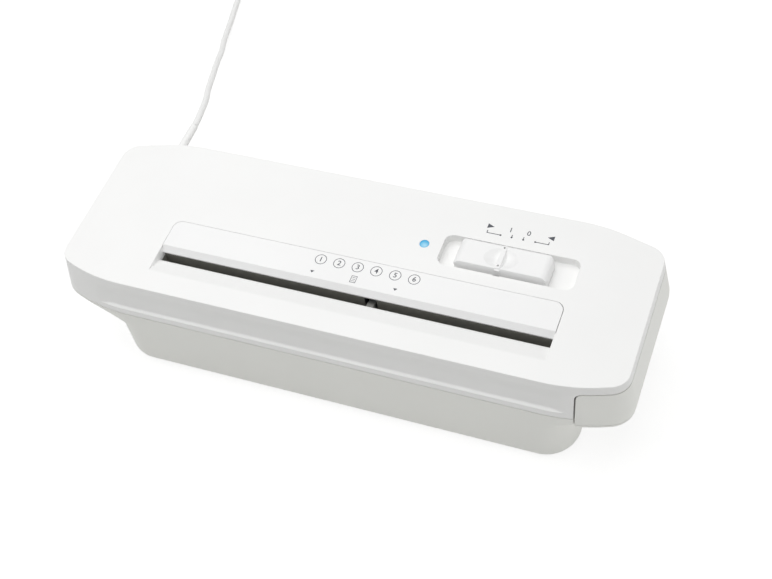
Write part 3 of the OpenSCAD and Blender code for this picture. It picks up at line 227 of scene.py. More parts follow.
def metal(name, colour, rough, stretch, spread=0.08):
    """Bare or plated metal with fine marks along its working direction."""
    n = Nodes(name)
    shader = n.add("ShaderNodeBsdfPrincipled")
    marks = n.noise(900, 4, 0.6, stretch)
    patches = n.noise(60, 3)
    n.link(n.ramp(patches, tint(colour, 1 - spread), tint(colour, 1 + spread)), shader.inputs["Base Color"])
    n.link(n.spread(marks, rough - 0.1, rough + 0.12), shader.inputs["Roughness"])
    n.link(n.bump(marks, 0.15, 0.00003), shader.inputs["Normal"])
    shader.inputs["Metallic"].default_value = 1
    n.link(shader.outputs[0], n.out.inputs["Surface"])
    return n.material


def circuit_board(name):
    """Solder mask with a faint pattern of copper tracks under it."""
    n = Nodes(name)
    shader = n.add("ShaderNodeBsdfPrincipled")
    tracks = n.add("ShaderNodeTexVoronoi", feature="DISTANCE_TO_EDGE", distance="MANHATTAN")
    tracks.inputs["Scale"].default_value = 160
    n.link(n.place, tracks.inputs["Vector"])
    n.link(n.ramp(tracks.outputs["Distance"], (0.05, 0.30, 0.12), (0.02, 0.15, 0.06), (0.05, 0.12)),
           shader.inputs["Base Color"])
    n.link(n.spread(n.noise(300), 0.25, 0.4), shader.inputs["Roughness"])
    n.link(n.bump(tracks.outputs["Distance"], 0.3, 0.0001), shader.inputs["Normal"])
    n.link(shader.outputs[0], n.out.inputs["Surface"])
    return n.material


def lens_glow_painted_highlight(name, highlight_at):
    """Clear tinted lens that glows blue, turning pale and bright near one point by its front edge: that
    bright spot is a painted highlight.
    """
    n = Nodes(name)
    shader = n.add("ShaderNodeBsdfPrincipled")
    n.link(n.ramp(n.noise(500), (0.005, 0.26, 0.42), (0.01, 0.30, 0.48)), shader.inputs["Base Color"])
    n.link(n.spread(n.noise(200), 0.08, 0.16), shader.inputs["Roughness"])
    away = n.add("ShaderNodeVectorMath", operation="DISTANCE")
    n.link(n.place, away.inputs[0])
    away.inputs[1].default_value = highlight_at
    # Emission pale near the point and blue further off: the pale spot is a painted highlight
    n.link(n.ramp(away.outputs["Value"], (0.62, 0.76, 0.80), (0.0, 0.28, 0.60), (0.0004, 0.0022)),
           shader.inputs["Emission Color"])
    shader.inputs["Emission Strength"].default_value = 0.5
    n.link(shader.outputs[0], n.out.inputs["Surface"])
    return n.material


def ink(name, colour):
    """Screen print, a little uneven in tone and sheen."""
    n = Nodes(name)
    shader = n.add("ShaderNodeBsdfPrincipled")
    n.link(n.ramp(n.noise(900, 4), tint(colour, 0.85), tint(colour, 1.2)), shader.inputs["Base Color"])
    n.link(n.spread(n.noise(400), 0.4, 0.6), shader.inputs["Roughness"])
    n.link(n.bump(n.noise(1500, 3), 0.1, 0.00005), shader.inputs["Normal"])
    n.link(shader.outputs[0], n.out.inputs["Surface"])
    return n.material


lens_lo, lens_hi = corners_mm("status_lens")
LIGHT = (float(lens_lo[0] + lens_hi[0]) / 2, float(lens_lo[1] + lens_hi[1]) / 2)
LENS_R = 2.6
# Point by the lens's front edge where its painted highlight is brightest
LENS_HIGHLIGHT = ((LIGHT[0] + 0.7) * MM, (LIGHT[1] - 1.5) * MM, float(lens_hi[2]) * MM)

MATERIALS = {
    "casing": plastic("casing_plastic", (0.915, 0.915, 0.905), 0.40, grain_depth=0.08, edge=0.0002),
    "tub": plastic("tub_plastic", (0.895, 0.897, 0.86), 0.46, grain_depth=0.08),
    "panel": plastic("panel_plastic", (0.915, 0.915, 0.91), 0.42, grain_depth=0.03, edge=0.00015),
    "knob": plastic("knob_plastic", (0.915, 0.915, 0.91), 0.36, grain_depth=0.03, edge=0.0002),
    "dark_plastic": plastic("dark_plastic", (0.03, 0.03, 0.033), 0.5, grain=1200, spread=0.2),
    "nylon": plastic("natural_nylon", (0.66, 0.61, 0.45), 0.4, grain=700, spread=0.05),
    "steel": metal("ground_steel", (0.42, 0.43, 0.44), 0.32, (0.1, 1, 1)),
    "plate_steel": metal("zinc_plated_sheet", (0.55, 0.56, 0.57), 0.36, (1, 1, 0.15), spread=0.12),
    "brass": metal("turned_brass", (0.72, 0.52, 0.20), 0.28, (0.2, 1, 1)),
    "board": circuit_board("control_board_mask"),
    "relay_blue": plastic("relay_case", (0.02, 0.10, 0.38), 0.3, spread=0.08),
    "capacitor_yellow": plastic("capacitor_case", (0.68, 0.42, 0.03), 0.32, spread=0.06),
    "terminal_green": plastic("terminal_case", (0.03, 0.26, 0.08), 0.4, spread=0.08),
    "lens": lens_glow_painted_highlight("lens_glow_painted_highlight", LENS_HIGHLIGHT),
    "cutout_ivory": plastic("cutout_case", (0.72, 0.66, 0.48), 0.4, spread=0.05),
    "cord": plastic("cord_vinyl", (0.90, 0.90, 0.89), 0.4, grain=800, grain_depth=0.08, edge=0),
    "pin_metal": metal("nickel_plated_pin", (0.62, 0.61, 0.58), 0.2, (0.1, 1, 1)),
}
# Grey for the casing's walls deep in the slot: painted shade, since the casing itself is white plastic
throat_painted_shade = plastic("throat_painted_shade", (0.27, 0.265, 0.238), 0.5, spread=0.04)
print_ink = ink("print_ink", (0.055, 0.06, 0.075))
# Mid grey for the sensor lever: painted shade for its place deep in the slot, since the lever is light
# plastic
lever_painted_shade = plastic("lever_painted_shade", (0.34, 0.34, 0.32), 0.45, spread=0.04)

# ---------------------------------------------------------------- mesh tools


def add_object(name, mesh, slot):
    """Object with the finish of a material slot."""
    piece = bpy.data.objects.new(name, mesh)
    scene.collection.objects.link(piece)
    mesh.materials.clear()
    mesh.materials.append(MATERIALS[slot])
    return piece


def mesh_from(name, points, faces):
    """Mesh of points in millimetres, with its faces turned outward."""
    mesh = bpy.data.meshes.new(name)
    mesh.from_pydata([tuple(float(c) * MM for c in p) for p in points], [], faces)
    work = bmesh.new()
    work.from_mesh(mesh)
    bmesh.ops.recalc_face_normals(work, faces=work.faces)
    work.to_mesh(mesh)
    work.free()
    return mesh


def loft(name, rings):
    """Closed mesh through rings of equally many points."""
    n, faces = len(rings[0]), []
    for k in range(len(rings) - 1):
        for i in range(n):
            j = (i + 1) % n
            faces.append((k * n + i, k * n + j, k * n + n + j, k * n + n + i))
    faces.append(tuple(range(n - 1, -1, -1)))
    faces.append(tuple(range((len(rings) - 1) * n, len(rings) * n)))
    return mesh_from(name, [p for ring in rings for p in ring], faces)


def drawn(name, profile, low, high, axis="x"):
    """Profile of (y, z), (x, z) or (x, y) points drawn out along x, y or z."""
    def at(p, v):
        return {"x": (v, p[0], p[1]), "y": (p[0], v, p[1]), "z": (p[0], p[1], v)}[axis]
    return loft(name, [[at(p, low) for p in profile], [at(p, high) for p in profile]])


def box_mesh(name, x, y, z):
    return drawn(name, [(x[0], y[0]), (x[1], y[0]), (x[1], y[1]), (x[0], y[1])], z[0], z[1], "z")


def circle(centre, r, steps):
    """Points around a circle."""
    angles = [2 * math.pi * k / steps for k in range(steps)]
    return [(centre[0] + r * math.cos(a), centre[1] + r * math.sin(a)) for a in angles]


def raised(outline, z):
    """Outline's points at a height."""
    return [(p[0], p[1], z) for p in outline]


def disc_mesh(name, centre, r, z, steps=48):
    return drawn(name, circle(centre, r, steps), z[0], z[1], "z")


def combine(mesh, others, operation="DIFFERENCE"):
    """The mesh with the others cut from it, joined to it, or kept in common with it."""
    body = bpy.data.objects.new("work", mesh)
    scene.collection.objects.link(body)
    tools = []
    for other in others:
        tool = bpy.data.objects.new("tool", other)
        scene.collection.objects.link(tool)
        tools.append(tool)
        cut = body.modifiers.new("cut", "BOOLEAN")
        cut.operation, cut.object, cut.solver = operation, tool, "EXACT"
    bpy.context.view_layer.update()
    made = bpy.data.meshes.new_from_object(body.evaluated_get(bpy.context.evaluated_depsgraph_get()))
    made.name = mesh.name
    for o in [body, *tools]:
        bpy.data.objects.remove(o)
    return made


def shade(piece, angle=30):
    """Smooth faces, sharp where they meet at more than the angle, with flat faces kept flat."""
    piece.data.shade_smooth()
    piece.data.set_sharp_from_angle(angle=math.radians(angle))
    weighted = piece.modifiers.new("weighted_normals", "WEIGHTED_NORMAL")
    weighted.keep_sharp = True
    weighted.weight = 90
    return piece


def arc(before, at, after, r, steps):
    """Points of the arc of radius r that rounds the corner "at"."""
    before, at, after = (np.array(p, float) for p in (before, at, after))
    a, b = before - at, after - at
    a, b = a / np.linalg.norm(a), b / np.linalg.norm(b)
    half = math.acos(float(np.clip(a @ b, -1, 1))) / 2
    centre = at + (a + b) / np.linalg.norm(a + b) * r / math.sin(half)
    start = at + a * r / math.tan(half) - centre
    end = at + b * r / math.tan(half) - centre
    first = math.atan2(start[1], start[0])
    sweep = (math.atan2(end[1], end[0]) - first + math.pi) % (2 * math.pi) - math.pi
    return [centre + r * np.array([math.cos(first + sweep * k / steps), math.sin(first + sweep * k / steps)])
            for k in range(steps + 1)]


def rounded(corners, radii, steps):
    """Points of each corner's arc, one list for each corner."""
    n = len(corners)
    return [arc(corners[i - 1], corners[i], corners[(i + 1) % n], radii[i], steps) for i in range(n)]


def rectangle(x0, x1, y0, y1):
    return [(x1, y0), (x1, y1), (x0, y1), (x0, y0)]


def flat(groups):
    """The points of all groups in one list."""
    return [p for group in groups for p in group]


def ease(t):
    """Soft step from 0 to 1."""
    t = min(1.0, max(0.0, t))
    return t * t * (3 - 2 * t)


# ---------------------------------------------------------------- casing outlines

casing_lo, casing_hi = corners_mm("upper_casing")
RIM_Z = float(casing_hi[2])
SEAM_Z = RIM_Z - 24
# How far the walls lean out between the rim and the seam
FLARE = 3.8
HALF_L = -float(casing_lo[0]) - FLARE
HALF_W = -float(casing_lo[1]) - FLARE
ROUND = 0.4
WALL = 2.4
TUB_L = HALF_L - 24.8
TUB_W = HALF_W + FLARE - 0.7
TUB_R = 19.5
TUB_DRAFT = 0.3
JOINT_X = TUB_L + 0.8
ARM_GAP = 0.6
ARM_TOP = RIM_Z - 5.8
ARM_LOW = ARM_TOP - 27.2
ARM_R, ARM_LOW_R = 3.5, 2.0
PLATE_TOP = ARM_LOW + 3
RAIL_SETBACK, RAIL_CLEAR = 10.9, 0.4
BOSS_R = 3.6
# Depth of the groove along the seam
GROOVE = 0.9
# Ranges that reach past the object
FAR_X, FAR_Y = 200, (-100, 100)
STEPS = 20
# Extra points on the straight stretch after each rounded corner; the last is the front edge
EXTRA = [2, 24, 2, 60, 2, 24, 2, 130]


def grown(corners, d):
    """Corners of the outline moved outward by d, its sides kept parallel."""
    out, n = [], len(corners)
    for i in range(n):
        a, b, c = (np.array(corners[k % n], float) for k in (i - 1, i, i + 1))
        u, v = (b - a) / np.linalg.norm(b - a), (c - b) / np.linalg.norm(c - b)
        n1, n2 = np.array([u[1], -u[0]]), np.array([v[1], -v[0]])
        out.append(b + d * (n1 + n2) / (1 + n1 @ n2))
    return out


FRONT_BEND, BACK_BEND = (24.9, 8.9), (34.4, 9.6)
RIM = [(HALF_L - FRONT_BEND[0], -HALF_W), (HALF_L, FRONT_BEND[1] - HALF_W),
       (HALF_L, HALF_W - BACK_BEND[1]), (HALF_L - BACK_BEND[0], HALF_W),
       (BACK_BEND[0] - HALF_L, HALF_W), (-HALF_L, HALF_W - BACK_BEND[1]),
       (-HALF_L, FRONT_BEND[1] - HALF_W), (FRONT_BEND[0] - HALF_L, -HALF_W)]
BEND_R, CORNER_R = 95, 10.8


def filled(groups):
    """One ring through the rounded corners, with extra points on the straight stretches between them."""
    out = []
    for k, group in enumerate(groups):
        out += list(group)
        after = groups[(k + 1) % len(groups)][0]
        out += [group[-1] + (after - group[-1]) * (j + 1) / (EXTRA[k] + 1) for j in range(EXTRA[k])]
    return np.array(out)


def casing_outline(d):
    """The casing's outline at the rim, grown by d."""
    bend, corner = BEND_R + d, CORNER_R + d
    return filled(rounded(grown(RIM, d), [bend, corner, corner, bend] * 2, STEPS))


def tub_outline(d):
    """The tub's outline grown by d, with as many points as the casing's."""
    r = TUB_R + d
    quarters = rounded(grown(rectangle(-TUB_L, TUB_L, -TUB_W, TUB_W), d), [r] * 4, 2 * STEPS + 1)
    return filled([half for q in quarters for half in (q[:STEPS + 1], q[STEPS + 1:])])


RIM_LINE = casing_outline(0)
OUTWARD = casing_outline(1) - RIM_LINE
# The right-hand end wall stands a little steeper than the others: its rim is this much further out
RIGHT_OUT, RIGHT_REACH = 0.3, 12
steeper = np.array([ease((p[0] - HALF_L + RIGHT_REACH) / RIGHT_REACH) for p in RIM_LINE])
RIM_LINE[:, 0] += RIGHT_OUT * steeper
OUTWARD[:, 0] -= RIGHT_OUT / FLARE * steeper


def flare_at(z):
    """How far the wall has leaned out at a height."""
    return FLARE * (RIM_Z - ROUND - z) / (RIM_Z - ROUND - SEAM_Z)


def casing_ring(d, z):
    """Ring round the casing at a height, so far outside the rim's outline."""
    return raised(RIM_LINE + OUTWARD * d, z)


# ---------------------------------------------------------------- upper casing

GRIP_ENDS = (23.5 - HALF_L, HALF_L - 26.9)
GRIP_LOW, GRIP_HIGH = RIM_Z - 20.1, RIM_Z - 3.4
GRIP_DEPTH, LEDGE = 1.9, 1.0
GRIP_FADE, END_FADE = 9, 10


def grip_depth(x, y, z):
    """Depth of the grip channel in the front wall: a soft upper edge, a ledge below, faded ends."""
    if y > 0:
        return 0.0
    up = min(1.0, max(0.0, (z - GRIP_LOW) / LEDGE))
    along = ease(min(x - GRIP_ENDS[0], GRIP_ENDS[1] - x) / END_FADE)
    return GRIP_DEPTH * along * math.sqrt(1 - (1 - up) ** 2) * ease((GRIP_HIGH - z) / GRIP_FADE)


def wall_ring(z):
    """Ring of the casing's wall, with the grip channel."""
    depth = np.array([grip_depth(p[0], p[1], z) for p in RIM_LINE])
    return raised(RIM_LINE + OUTWARD * (flare_at(z) - depth)[:, None], z)


ledge_z = [GRIP_LOW + LEDGE * (1 - math.cos(a)) for a in np.radians(np.arange(0, 91, 9))]
heights = [SEAM_Z + 0.6, SEAM_Z + 2, GRIP_LOW - 0.4, *ledge_z, GRIP_LOW + 2, GRIP_LOW + 4,
           *np.arange(GRIP_HIGH - GRIP_FADE, GRIP_HIGH + 0.1, 0.75), RIM_Z - ROUND]
rings = [casing_ring(FLARE - GROOVE, SEAM_Z), casing_ring(FLARE - GROOVE, SEAM_Z + 0.42),
         casing_ring(FLARE - 0.05, SEAM_Z + 0.43)]
rings += [wall_ring(z) for z in heights]
rings += [casing_ring(ROUND * (math.cos(a) - 1), RIM_Z - ROUND + ROUND * math.sin(a))
          for a in np.radians(np.arange(15, 91, 15))]
casing_mesh = loft("upper_casing_shell", rings)

panel_lo, panel_hi = corners_mm("inlet_panel")
SLOT_X = (float(panel_lo[0]), float(panel_hi[0]))
SLOT_BACK, PANEL_BACK = float(panel_lo[1]), float(panel_hi[1])
SLOT_FRONT = SLOT_BACK - 5.2
RAMP_Y = SLOT_FRONT - 11.8
SLOT_LOW = RIM_Z - 15
LIP_LOW = RIM_Z - 6.5
PANEL_LOW = RIM_Z - 2
PANEL_R, PANEL_GAP = 5.2, 0.13

inner = loft("cavity", [casing_ring(FLARE - WALL, SEAM_Z - 1), casing_ring(-WALL, RIM_Z - WALL)])
inner = combine(inner, [box_mesh("limit", (-FAR_X, JOINT_X - WALL), FAR_Y, (SEAM_Z - 2, RIM_Z))], "INTERSECT")
opening = rounded(rectangle(JOINT_X - 0.12, FAR_X, 0, ARM_TOP + ARM_GAP), [1, 1, ARM_R + ARM_GAP, 1], 8)
arm_room = drawn("arm_room", flat(opening), *FAR_Y, "y")
casing_mesh = combine(casing_mesh, [inner, arm_room])

knob_lo, knob_hi = corners_mm("switch_knob")
KNOB_X, KNOB_Y = float(knob_lo[0] + knob_hi[0]) / 2, float(knob_lo[1] + knob_hi[1]) / 2
RIDGE_X = KNOB_X - 1.2
KNOB_L, KNOB_W = float(knob_hi[0] - knob_lo[0]), float(knob_hi[1] - knob_lo[1])
SWITCH_STEP = 6.35
RECESS_X = (float(knob_lo[0]) - SWITCH_STEP - 2.65, SLOT_X[1] + 1.2)
RECESS_Y = (KNOB_Y - 9.3, KNOB_Y + 9.3 + 1.7)
RECESS_LOW = RIM_Z - 5
STEM_X, STEM_Y, STEM_PLAY = 4, 1.5, (0.6, 0.4)
SCREWS = [(sx * (TUB_L - 7.8), sy * (HALF_W - 15.4)) for sx in (-1, 1) for sy in (-1, 1)]

wall_back = SLOT_BACK + WALL + 2.2
slot_wall = drawn("slot_wall", [
    (RAMP_Y - 2, RIM_Z - 1), (RAMP_Y - 2, RIM_Z - WALL - 0.1), (SLOT_FRONT - WALL, RIM_Z - 9.2),
    (SLOT_FRONT - WALL, SLOT_LOW), (wall_back, SLOT_LOW), (wall_back, RIM_Z - 1)],
    SLOT_X[0] - WALL, SLOT_X[1] + WALL)
recess_wall = box_mesh("recess_wall", (RECESS_X[0] - 2, RECESS_X[1] + 2),
                       (RECESS_Y[0] - 2, RECESS_Y[1] + 2), (RECESS_LOW - 2, RIM_Z - 1))
bosses = [disc_mesh("boss", s, BOSS_R, (SEAM_Z, RIM_Z - 1)) for s in SCREWS]
casing_mesh = combine(casing_mesh, [slot_wall, recess_wall, *bosses], "UNION")

ramp_top, ramp_foot = (RAMP_Y, RIM_Z), (SLOT_FRONT, RIM_Z - 4.6)
ramp = (arc((RAMP_Y - 12, RIM_Z), ramp_top, ramp_foot, 5, 6)
        + arc(ramp_top, ramp_foot, (SLOT_FRONT, SLOT_LOW), 4, 12))
THROAT_TOP = float(ramp[-1][1])
slot_profile = [*ramp, (SLOT_BACK, THROAT_TOP), (SLOT_BACK, RIM_Z + 1), (ramp[0][0], RIM_Z + 1)]
slot_cut = drawn("slot_cut", slot_profile, SLOT_X[0], SLOT_X[1])
throat_cut = box_mesh("throat_cut", SLOT_X, (SLOT_FRONT, SLOT_BACK), (SLOT_LOW - 1, THROAT_TOP + 0.2))


def flared_pocket(name, x, y, r, low, high, edge, foot):
    """Pocket with a rounded outline, a softened top edge and a fillet at its floor."""
    def ring(d, z):
        return raised(flat(rounded(grown(rectangle(*x, *y), d), [r + d] * 4, 12)), z)
    out = [ring(-foot * (1 - math.sin(a)), low + foot * (1 - math.cos(a)))
           for a in np.radians(np.arange(0, 91, 15))]
    out += [ring(edge * (1 - math.cos(a)), high - edge + edge * math.sin(a))
            for a in np.radians(np.arange(15, 76, 15))]
    out += [ring(edge, high), ring(edge, high + 1)]
    return loft(name, out)


recess_cut = flared_pocket("recess_cut", RECESS_X, RECESS_Y, 4.6, RECESS_LOW, RIM_Z, 0.35, 0.5)
pocket = rectangle(SLOT_X[0] - PANEL_GAP, SLOT_X[1] + 0.38, SLOT_BACK - 20, PANEL_BACK + PANEL_GAP)
pocket_cut = combine(drawn("pocket", flat(rounded(pocket, [PANEL_R] * 4, 12)), PANEL_LOW, RIM_Z + 1, "z"),
                     [box_mesh("limit", (-FAR_X, FAR_X), (SLOT_BACK - 0.01, 100), (0, 100))], "INTERSECT")
lip_cut = box_mesh("lip_cut", (SLOT_X[0] - PANEL_GAP, SLOT_X[1] + PANEL_GAP),
                   (SLOT_BACK - 0.01, SLOT_BACK + WALL + PANEL_GAP), (LIP_LOW - PANEL_GAP, RIM_Z + 1))
# The stem goes one step to the left and two to the right
stem_cut = box_mesh("stem_cut", (KNOB_X - STEM_X - SWITCH_STEP - STEM_PLAY[0],
                                 KNOB_X + STEM_X + 2 * SWITCH_STEP + STEM_PLAY[0]),
                    (KNOB_Y - STEM_Y - STEM_PLAY[1], KNOB_Y + STEM_Y + STEM_PLAY[1]), (RECESS_LOW - 3, RIM_Z))
tab_cut = box_mesh("tab_cut", (RIDGE_X - 1.7, RIDGE_X + 1.7), (RECESS_Y[0] - 0.6, RECESS_Y[0] + 1),
                   (RECESS_LOW - 0.01, RIM_Z + 1))
light_cut = disc_mesh("light_cut", LIGHT, LENS_R + 0.1, (RIM_Z - 4, RIM_Z + 1))
sensor_lo, sensor_hi = corners_mm("sensor_lever")
SENSOR_X = float(sensor_lo[0] + sensor_hi[0]) / 2
sensor_cut = box_mesh("sensor_cut", (SENSOR_X - 3.5, SENSOR_X + 3.5), (SLOT_BACK - 0.01, SLOT_BACK + 7.8),
                      (SLOT_LOW - 1, LIP_LOW - PANEL_GAP))
rail_lo = corners_mm("arm_rail_front")[0]
rail_y = (-float(rail_lo[1]) + RAIL_CLEAR, HALF_W - RAIL_SETBACK - RAIL_CLEAR)
rail_cuts = [box_mesh("rail_cut", (JOINT_X - WALL - 1, JOINT_X + 1), sorted(s * y for y in rail_y),
                      (SEAM_Z + 3.2, SEAM_Z + 16)) for s in (-1, 1)]
relief_lo, relief_hi = corners_mm("strain_relief")
EXIT = (float(relief_lo[0] + relief_hi[0]) / 2, float(relief_lo[2] + relief_hi[2]) / 2)
cord_cut = drawn("cord_cut", circle(EXIT, 3.6, 36), 45, 60, "y")
casing_mesh = combine(casing_mesh, [slot_cut, throat_cut, pocket_cut, lip_cut, recess_cut, stem_cut, tab_cut,
                                    light_cut, sensor_cut, cord_cut, *rail_cuts])
upper_shell = shade(add_object("upper_casing_shell", casing_mesh, "casing"))
# Painted shade: the casing's walls in the throat below the panel's lip are coloured grey, and the walls of
# the sensor's notch behind them dark, for the shade deep in the slot
casing_mesh.materials.append(throat_painted_shade)
casing_mesh.materials.append(MATERIALS["dark_plastic"])
for face in casing_mesh.polygons:
    x, y, z = face.center / MM
    if SLOT_X[0] - 0.1 < x < SLOT_X[1] + 0.1 and SLOT_FRONT - 0.1 < y < SLOT_BACK + 7.9 and z < LIP_LOW:
        face.material_index = 2 if y > SLOT_BACK + 0.02 else 1
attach(upper_shell, "head")
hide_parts("upper_casing")

# ---------------------------------------------------------------- lower casing

TUB_ROUND, SHOULDER_Z, LIP_Z = 7.5, SEAM_Z - 14.4, SEAM_Z - 1.9
tub_line, seam_line = tub_outline(0), RIM_LINE + OUTWARD * FLARE
rings = [raised(tub_outline(-TUB_DRAFT - TUB_ROUND * (1 - math.sin(a))), TUB_ROUND * (1 - math.cos(a)))
         for a in np.radians(np.arange(0, 91, 7.5))]
for z in np.linspace(TUB_ROUND + 3, SHOULDER_Z - 4, 5):
    rings.append(raised(tub_outline(-TUB_DRAFT * (SHOULDER_Z - z) / (SHOULDER_Z - TUB_ROUND)), z))
# The sloping shoulder between the tub and the seam, eased over these heights at its foot and its top
EASE_Z, LIP_EASE = 2.4, 1.2
slope = 1 / (LIP_Z - SHOULDER_Z)
for z in np.concatenate([np.linspace(SHOULDER_Z - EASE_Z, SHOULDER_Z + EASE_Z, 13),
                         np.linspace(SHOULDER_Z + EASE_Z + 1, LIP_Z - LIP_EASE - 1, 5),
                         np.linspace(LIP_Z - LIP_EASE, LIP_Z + LIP_EASE, 11)]):
    away, down = z - SHOULDER_Z, LIP_Z - z
    share = slope * ((away + EASE_Z) ** 2 / (4 * EASE_Z) if away < EASE_Z else away)
    if down < LIP_EASE:
        share = 1 - slope * (down + LIP_EASE) ** 2 / (4 * LIP_EASE)
    rings.append(raised(tub_line + (seam_line - tub_line) * share, z))
rings += [casing_ring(FLARE, SEAM_Z - 0.32), casing_ring(FLARE - 0.1, SEAM_Z - 0.16),
          casing_ring(FLARE - GROOVE, SEAM_Z - 0.15), casing_ring(FLARE - GROOVE, SEAM_Z)]
tub_mesh = loft("lower_casing_shell", rings)
INNER_ROUND = TUB_ROUND - WALL
hollow = [raised(tub_outline(INNER_ROUND * (math.sin(a) - 1) - WALL - TUB_DRAFT),
                 WALL + INNER_ROUND * (1 - math.cos(a))) for a in np.radians(np.arange(0, 91, 15))]
hollow += [raised(tub_outline(-WALL), SHOULDER_Z + 1.5), casing_ring(FLARE - WALL - 1.2, SEAM_Z + 0.01)]
tub_hollow = combine(loft("tub_hollow", hollow),
                     [box_mesh("limit", (-FAR_X, JOINT_X - WALL), FAR_Y, (0, SEAM_Z + 1))], "INTERSECT")
arm_room = box_mesh("arm_room", (JOINT_X, FAR_X), FAR_Y, (-1, SEAM_Z + 1))
tub_mesh = combine(tub_mesh, [tub_hollow, arm_room])
tub_mesh = combine(tub_mesh, [disc_mesh("well", s, 4.2, (WALL, SEAM_Z)) for s in SCREWS], "UNION")
# The outlet reaches past both cutters, whose axes are 22 apart
CUTTER_GAP, OUTLET_REACH = 22, 9.5
front_axis_y = SLOT_FRONT + 2.6 + 0.9 - CUTTER_GAP / 2
outlet = box_mesh("outlet", SLOT_X, (front_axis_y - OUTLET_REACH, front_axis_y + CUTTER_GAP + OUTLET_REACH),
                  (-1, WALL + 1))
wells = [disc_mesh("well", s, 3.2, (-1, 30)) for s in SCREWS]
wells += [disc_mesh("hole", s, 1.8, (29, SEAM_Z + 1)) for s in SCREWS]
tub_mesh = combine(tub_mesh, [outlet, *wells])
lower_shell = shade(add_object("lower_casing_shell", tub_mesh, "tub"))
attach(lower_shell, "head")
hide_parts("lower_casing")

# ---------------------------------------------------------------- extension arm


def arm_outer(name, z0, z1, rings):
    """Stretch of the arm's outer form between two heights, with its corners at the joint rounded."""
    side = rounded(rectangle(JOINT_X + ARM_GAP + 0.1, 220, ARM_LOW, ARM_TOP), [1, 1, ARM_R, ARM_LOW_R], 8)
    view = combine(drawn("side", flat(side), *FAR_Y, "y"),
                   [box_mesh("limit", (JOINT_X, FAR_X), FAR_Y, (z0, z1))], "INTERSECT")
    return combine(loft(name, rings), [view], "INTERSECT")


arm_mesh = arm_outer("arm_shell_piece", PLATE_TOP, ARM_TOP + 1, [
    casing_ring(FLARE - 1.3, PLATE_TOP - 0.01), casing_ring(FLARE - 1.3, PLATE_TOP + 0.2),
    casing_ring(FLARE - 0.45, PLATE_TOP + 0.21), casing_ring(FLARE - 0.35, PLATE_TOP + 0.4),
    casing_ring(FLARE, ARM_LOW + 5), casing_ring(FLARE, SEAM_Z - 1), casing_ring(FLARE, SEAM_Z),
    *[casing_ring(flare_at(z), z) for z in np.linspace(SEAM_Z + 1.5, ARM_TOP - 0.5, 8)],
    casing_ring(flare_at(ARM_TOP - 0.3) - 0.05, ARM_TOP - 0.3),
    casing_ring(flare_at(ARM_TOP - 0.29) - 0.75, ARM_TOP - 0.29),
    casing_ring(flare_at(ARM_TOP) - 0.75, ARM_TOP)])
arm_mesh = combine(arm_mesh, [loft("arm_hollow", [
    casing_ring(FLARE - WALL, ARM_LOW), casing_ring(FLARE - WALL, SEAM_Z),
    casing_ring(flare_at(ARM_TOP) - WALL, ARM_TOP - WALL)])])
ARM_BOSSES = [(HALF_L - 4.9, y) for y in (-20, 20)]
arm_bosses = [disc_mesh("boss", p, BOSS_R, (PLATE_TOP, ARM_TOP - 1)) for p in ARM_BOSSES]
arm_mesh = combine(arm_mesh, arm_bosses, "UNION")
arm_piece = shade(add_object("arm_shell_piece", arm_mesh, "tub"))
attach(arm_piece, "arm")
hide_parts("arm_shell")

plate_mesh = arm_outer("arm_base_piece", ARM_LOW - 1, PLATE_TOP, [
    casing_ring(FLARE - 1.6, ARM_LOW), casing_ring(FLARE - 1.1, ARM_LOW + 0.35),
    casing_ring(FLARE - 0.6, ARM_LOW + 1.2),
    casing_ring(FLARE - 0.45, PLATE_TOP - 0.4), casing_ring(FLARE - 0.5, PLATE_TOP - 0.18),
    casing_ring(FLARE - 1.3, PLATE_TOP - 0.17), casing_ring(FLARE - 1.3, PLATE_TOP)])
foot = (JOINT_X + 6.9, HALF_W - RAIL_SETBACK - 2.2)
holes = [(foot[0], -foot[1]), foot, *ARM_BOSSES]
plate_mesh = combine(plate_mesh, [disc_mesh("hole", p, 3.1, (ARM_LOW - 1, ARM_LOW + 1.4)) for p in holes]
                     + [disc_mesh("hole", p, 1.5, (ARM_LOW + 1, PLATE_TOP + 1)) for p in holes])
arm_plate = shade(add_object("arm_base_piece", plate_mesh, "tub"))
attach(arm_plate, "arm")
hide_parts("arm_base_plate")

# ---------------------------------------------------------------- inlet panel

lip_top, lip_foot = (SLOT_BACK + 1.3, RIM_Z), (SLOT_BACK - 1.5, RIM_Z - 3.4)
lip = (arc((PANEL_BACK, RIM_Z), lip_top, lip_foot, 0.6, 6)
       + arc(lip_top, lip_foot, (SLOT_BACK, LIP_LOW), 0.3, 4)
       + arc(lip_foot, (SLOT_BACK, LIP_LOW), (PANEL_BACK, LIP_LOW), 0.3, 3))
profile = [*lip, (SLOT_BACK + WALL, LIP_LOW), (SLOT_BACK + WALL, PANEL_LOW), (PANEL_BACK, PANEL_LOW),
           (PANEL_BACK, RIM_Z)]
outer = rectangle(SLOT_X[0], SLOT_X[1], SLOT_BACK - 20, PANEL_BACK)
plan = [flat(rounded(grown(outer, -d), [PANEL_R - d] * 4, 16)) for d in (0, 0.03, 0.1)]
tops = [RIM_Z - 0.1, RIM_Z - 0.03, RIM_Z]
plan_rings = [raised(plan[0], 50)] + [raised(p, z) for p, z in zip(plan, tops)]
panel_mesh = combine(drawn("inlet_panel_piece", profile, SLOT_X[0] - 1, SLOT_X[1] + 1),
                     [loft("plan", plan_rings)], "INTERSECT")
panel_piece = shade(add_object("inlet_panel_piece", panel_mesh, "panel"))
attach(panel_piece, "head")
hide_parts("inlet_panel")

# ---------------------------------------------------------------- switch knob

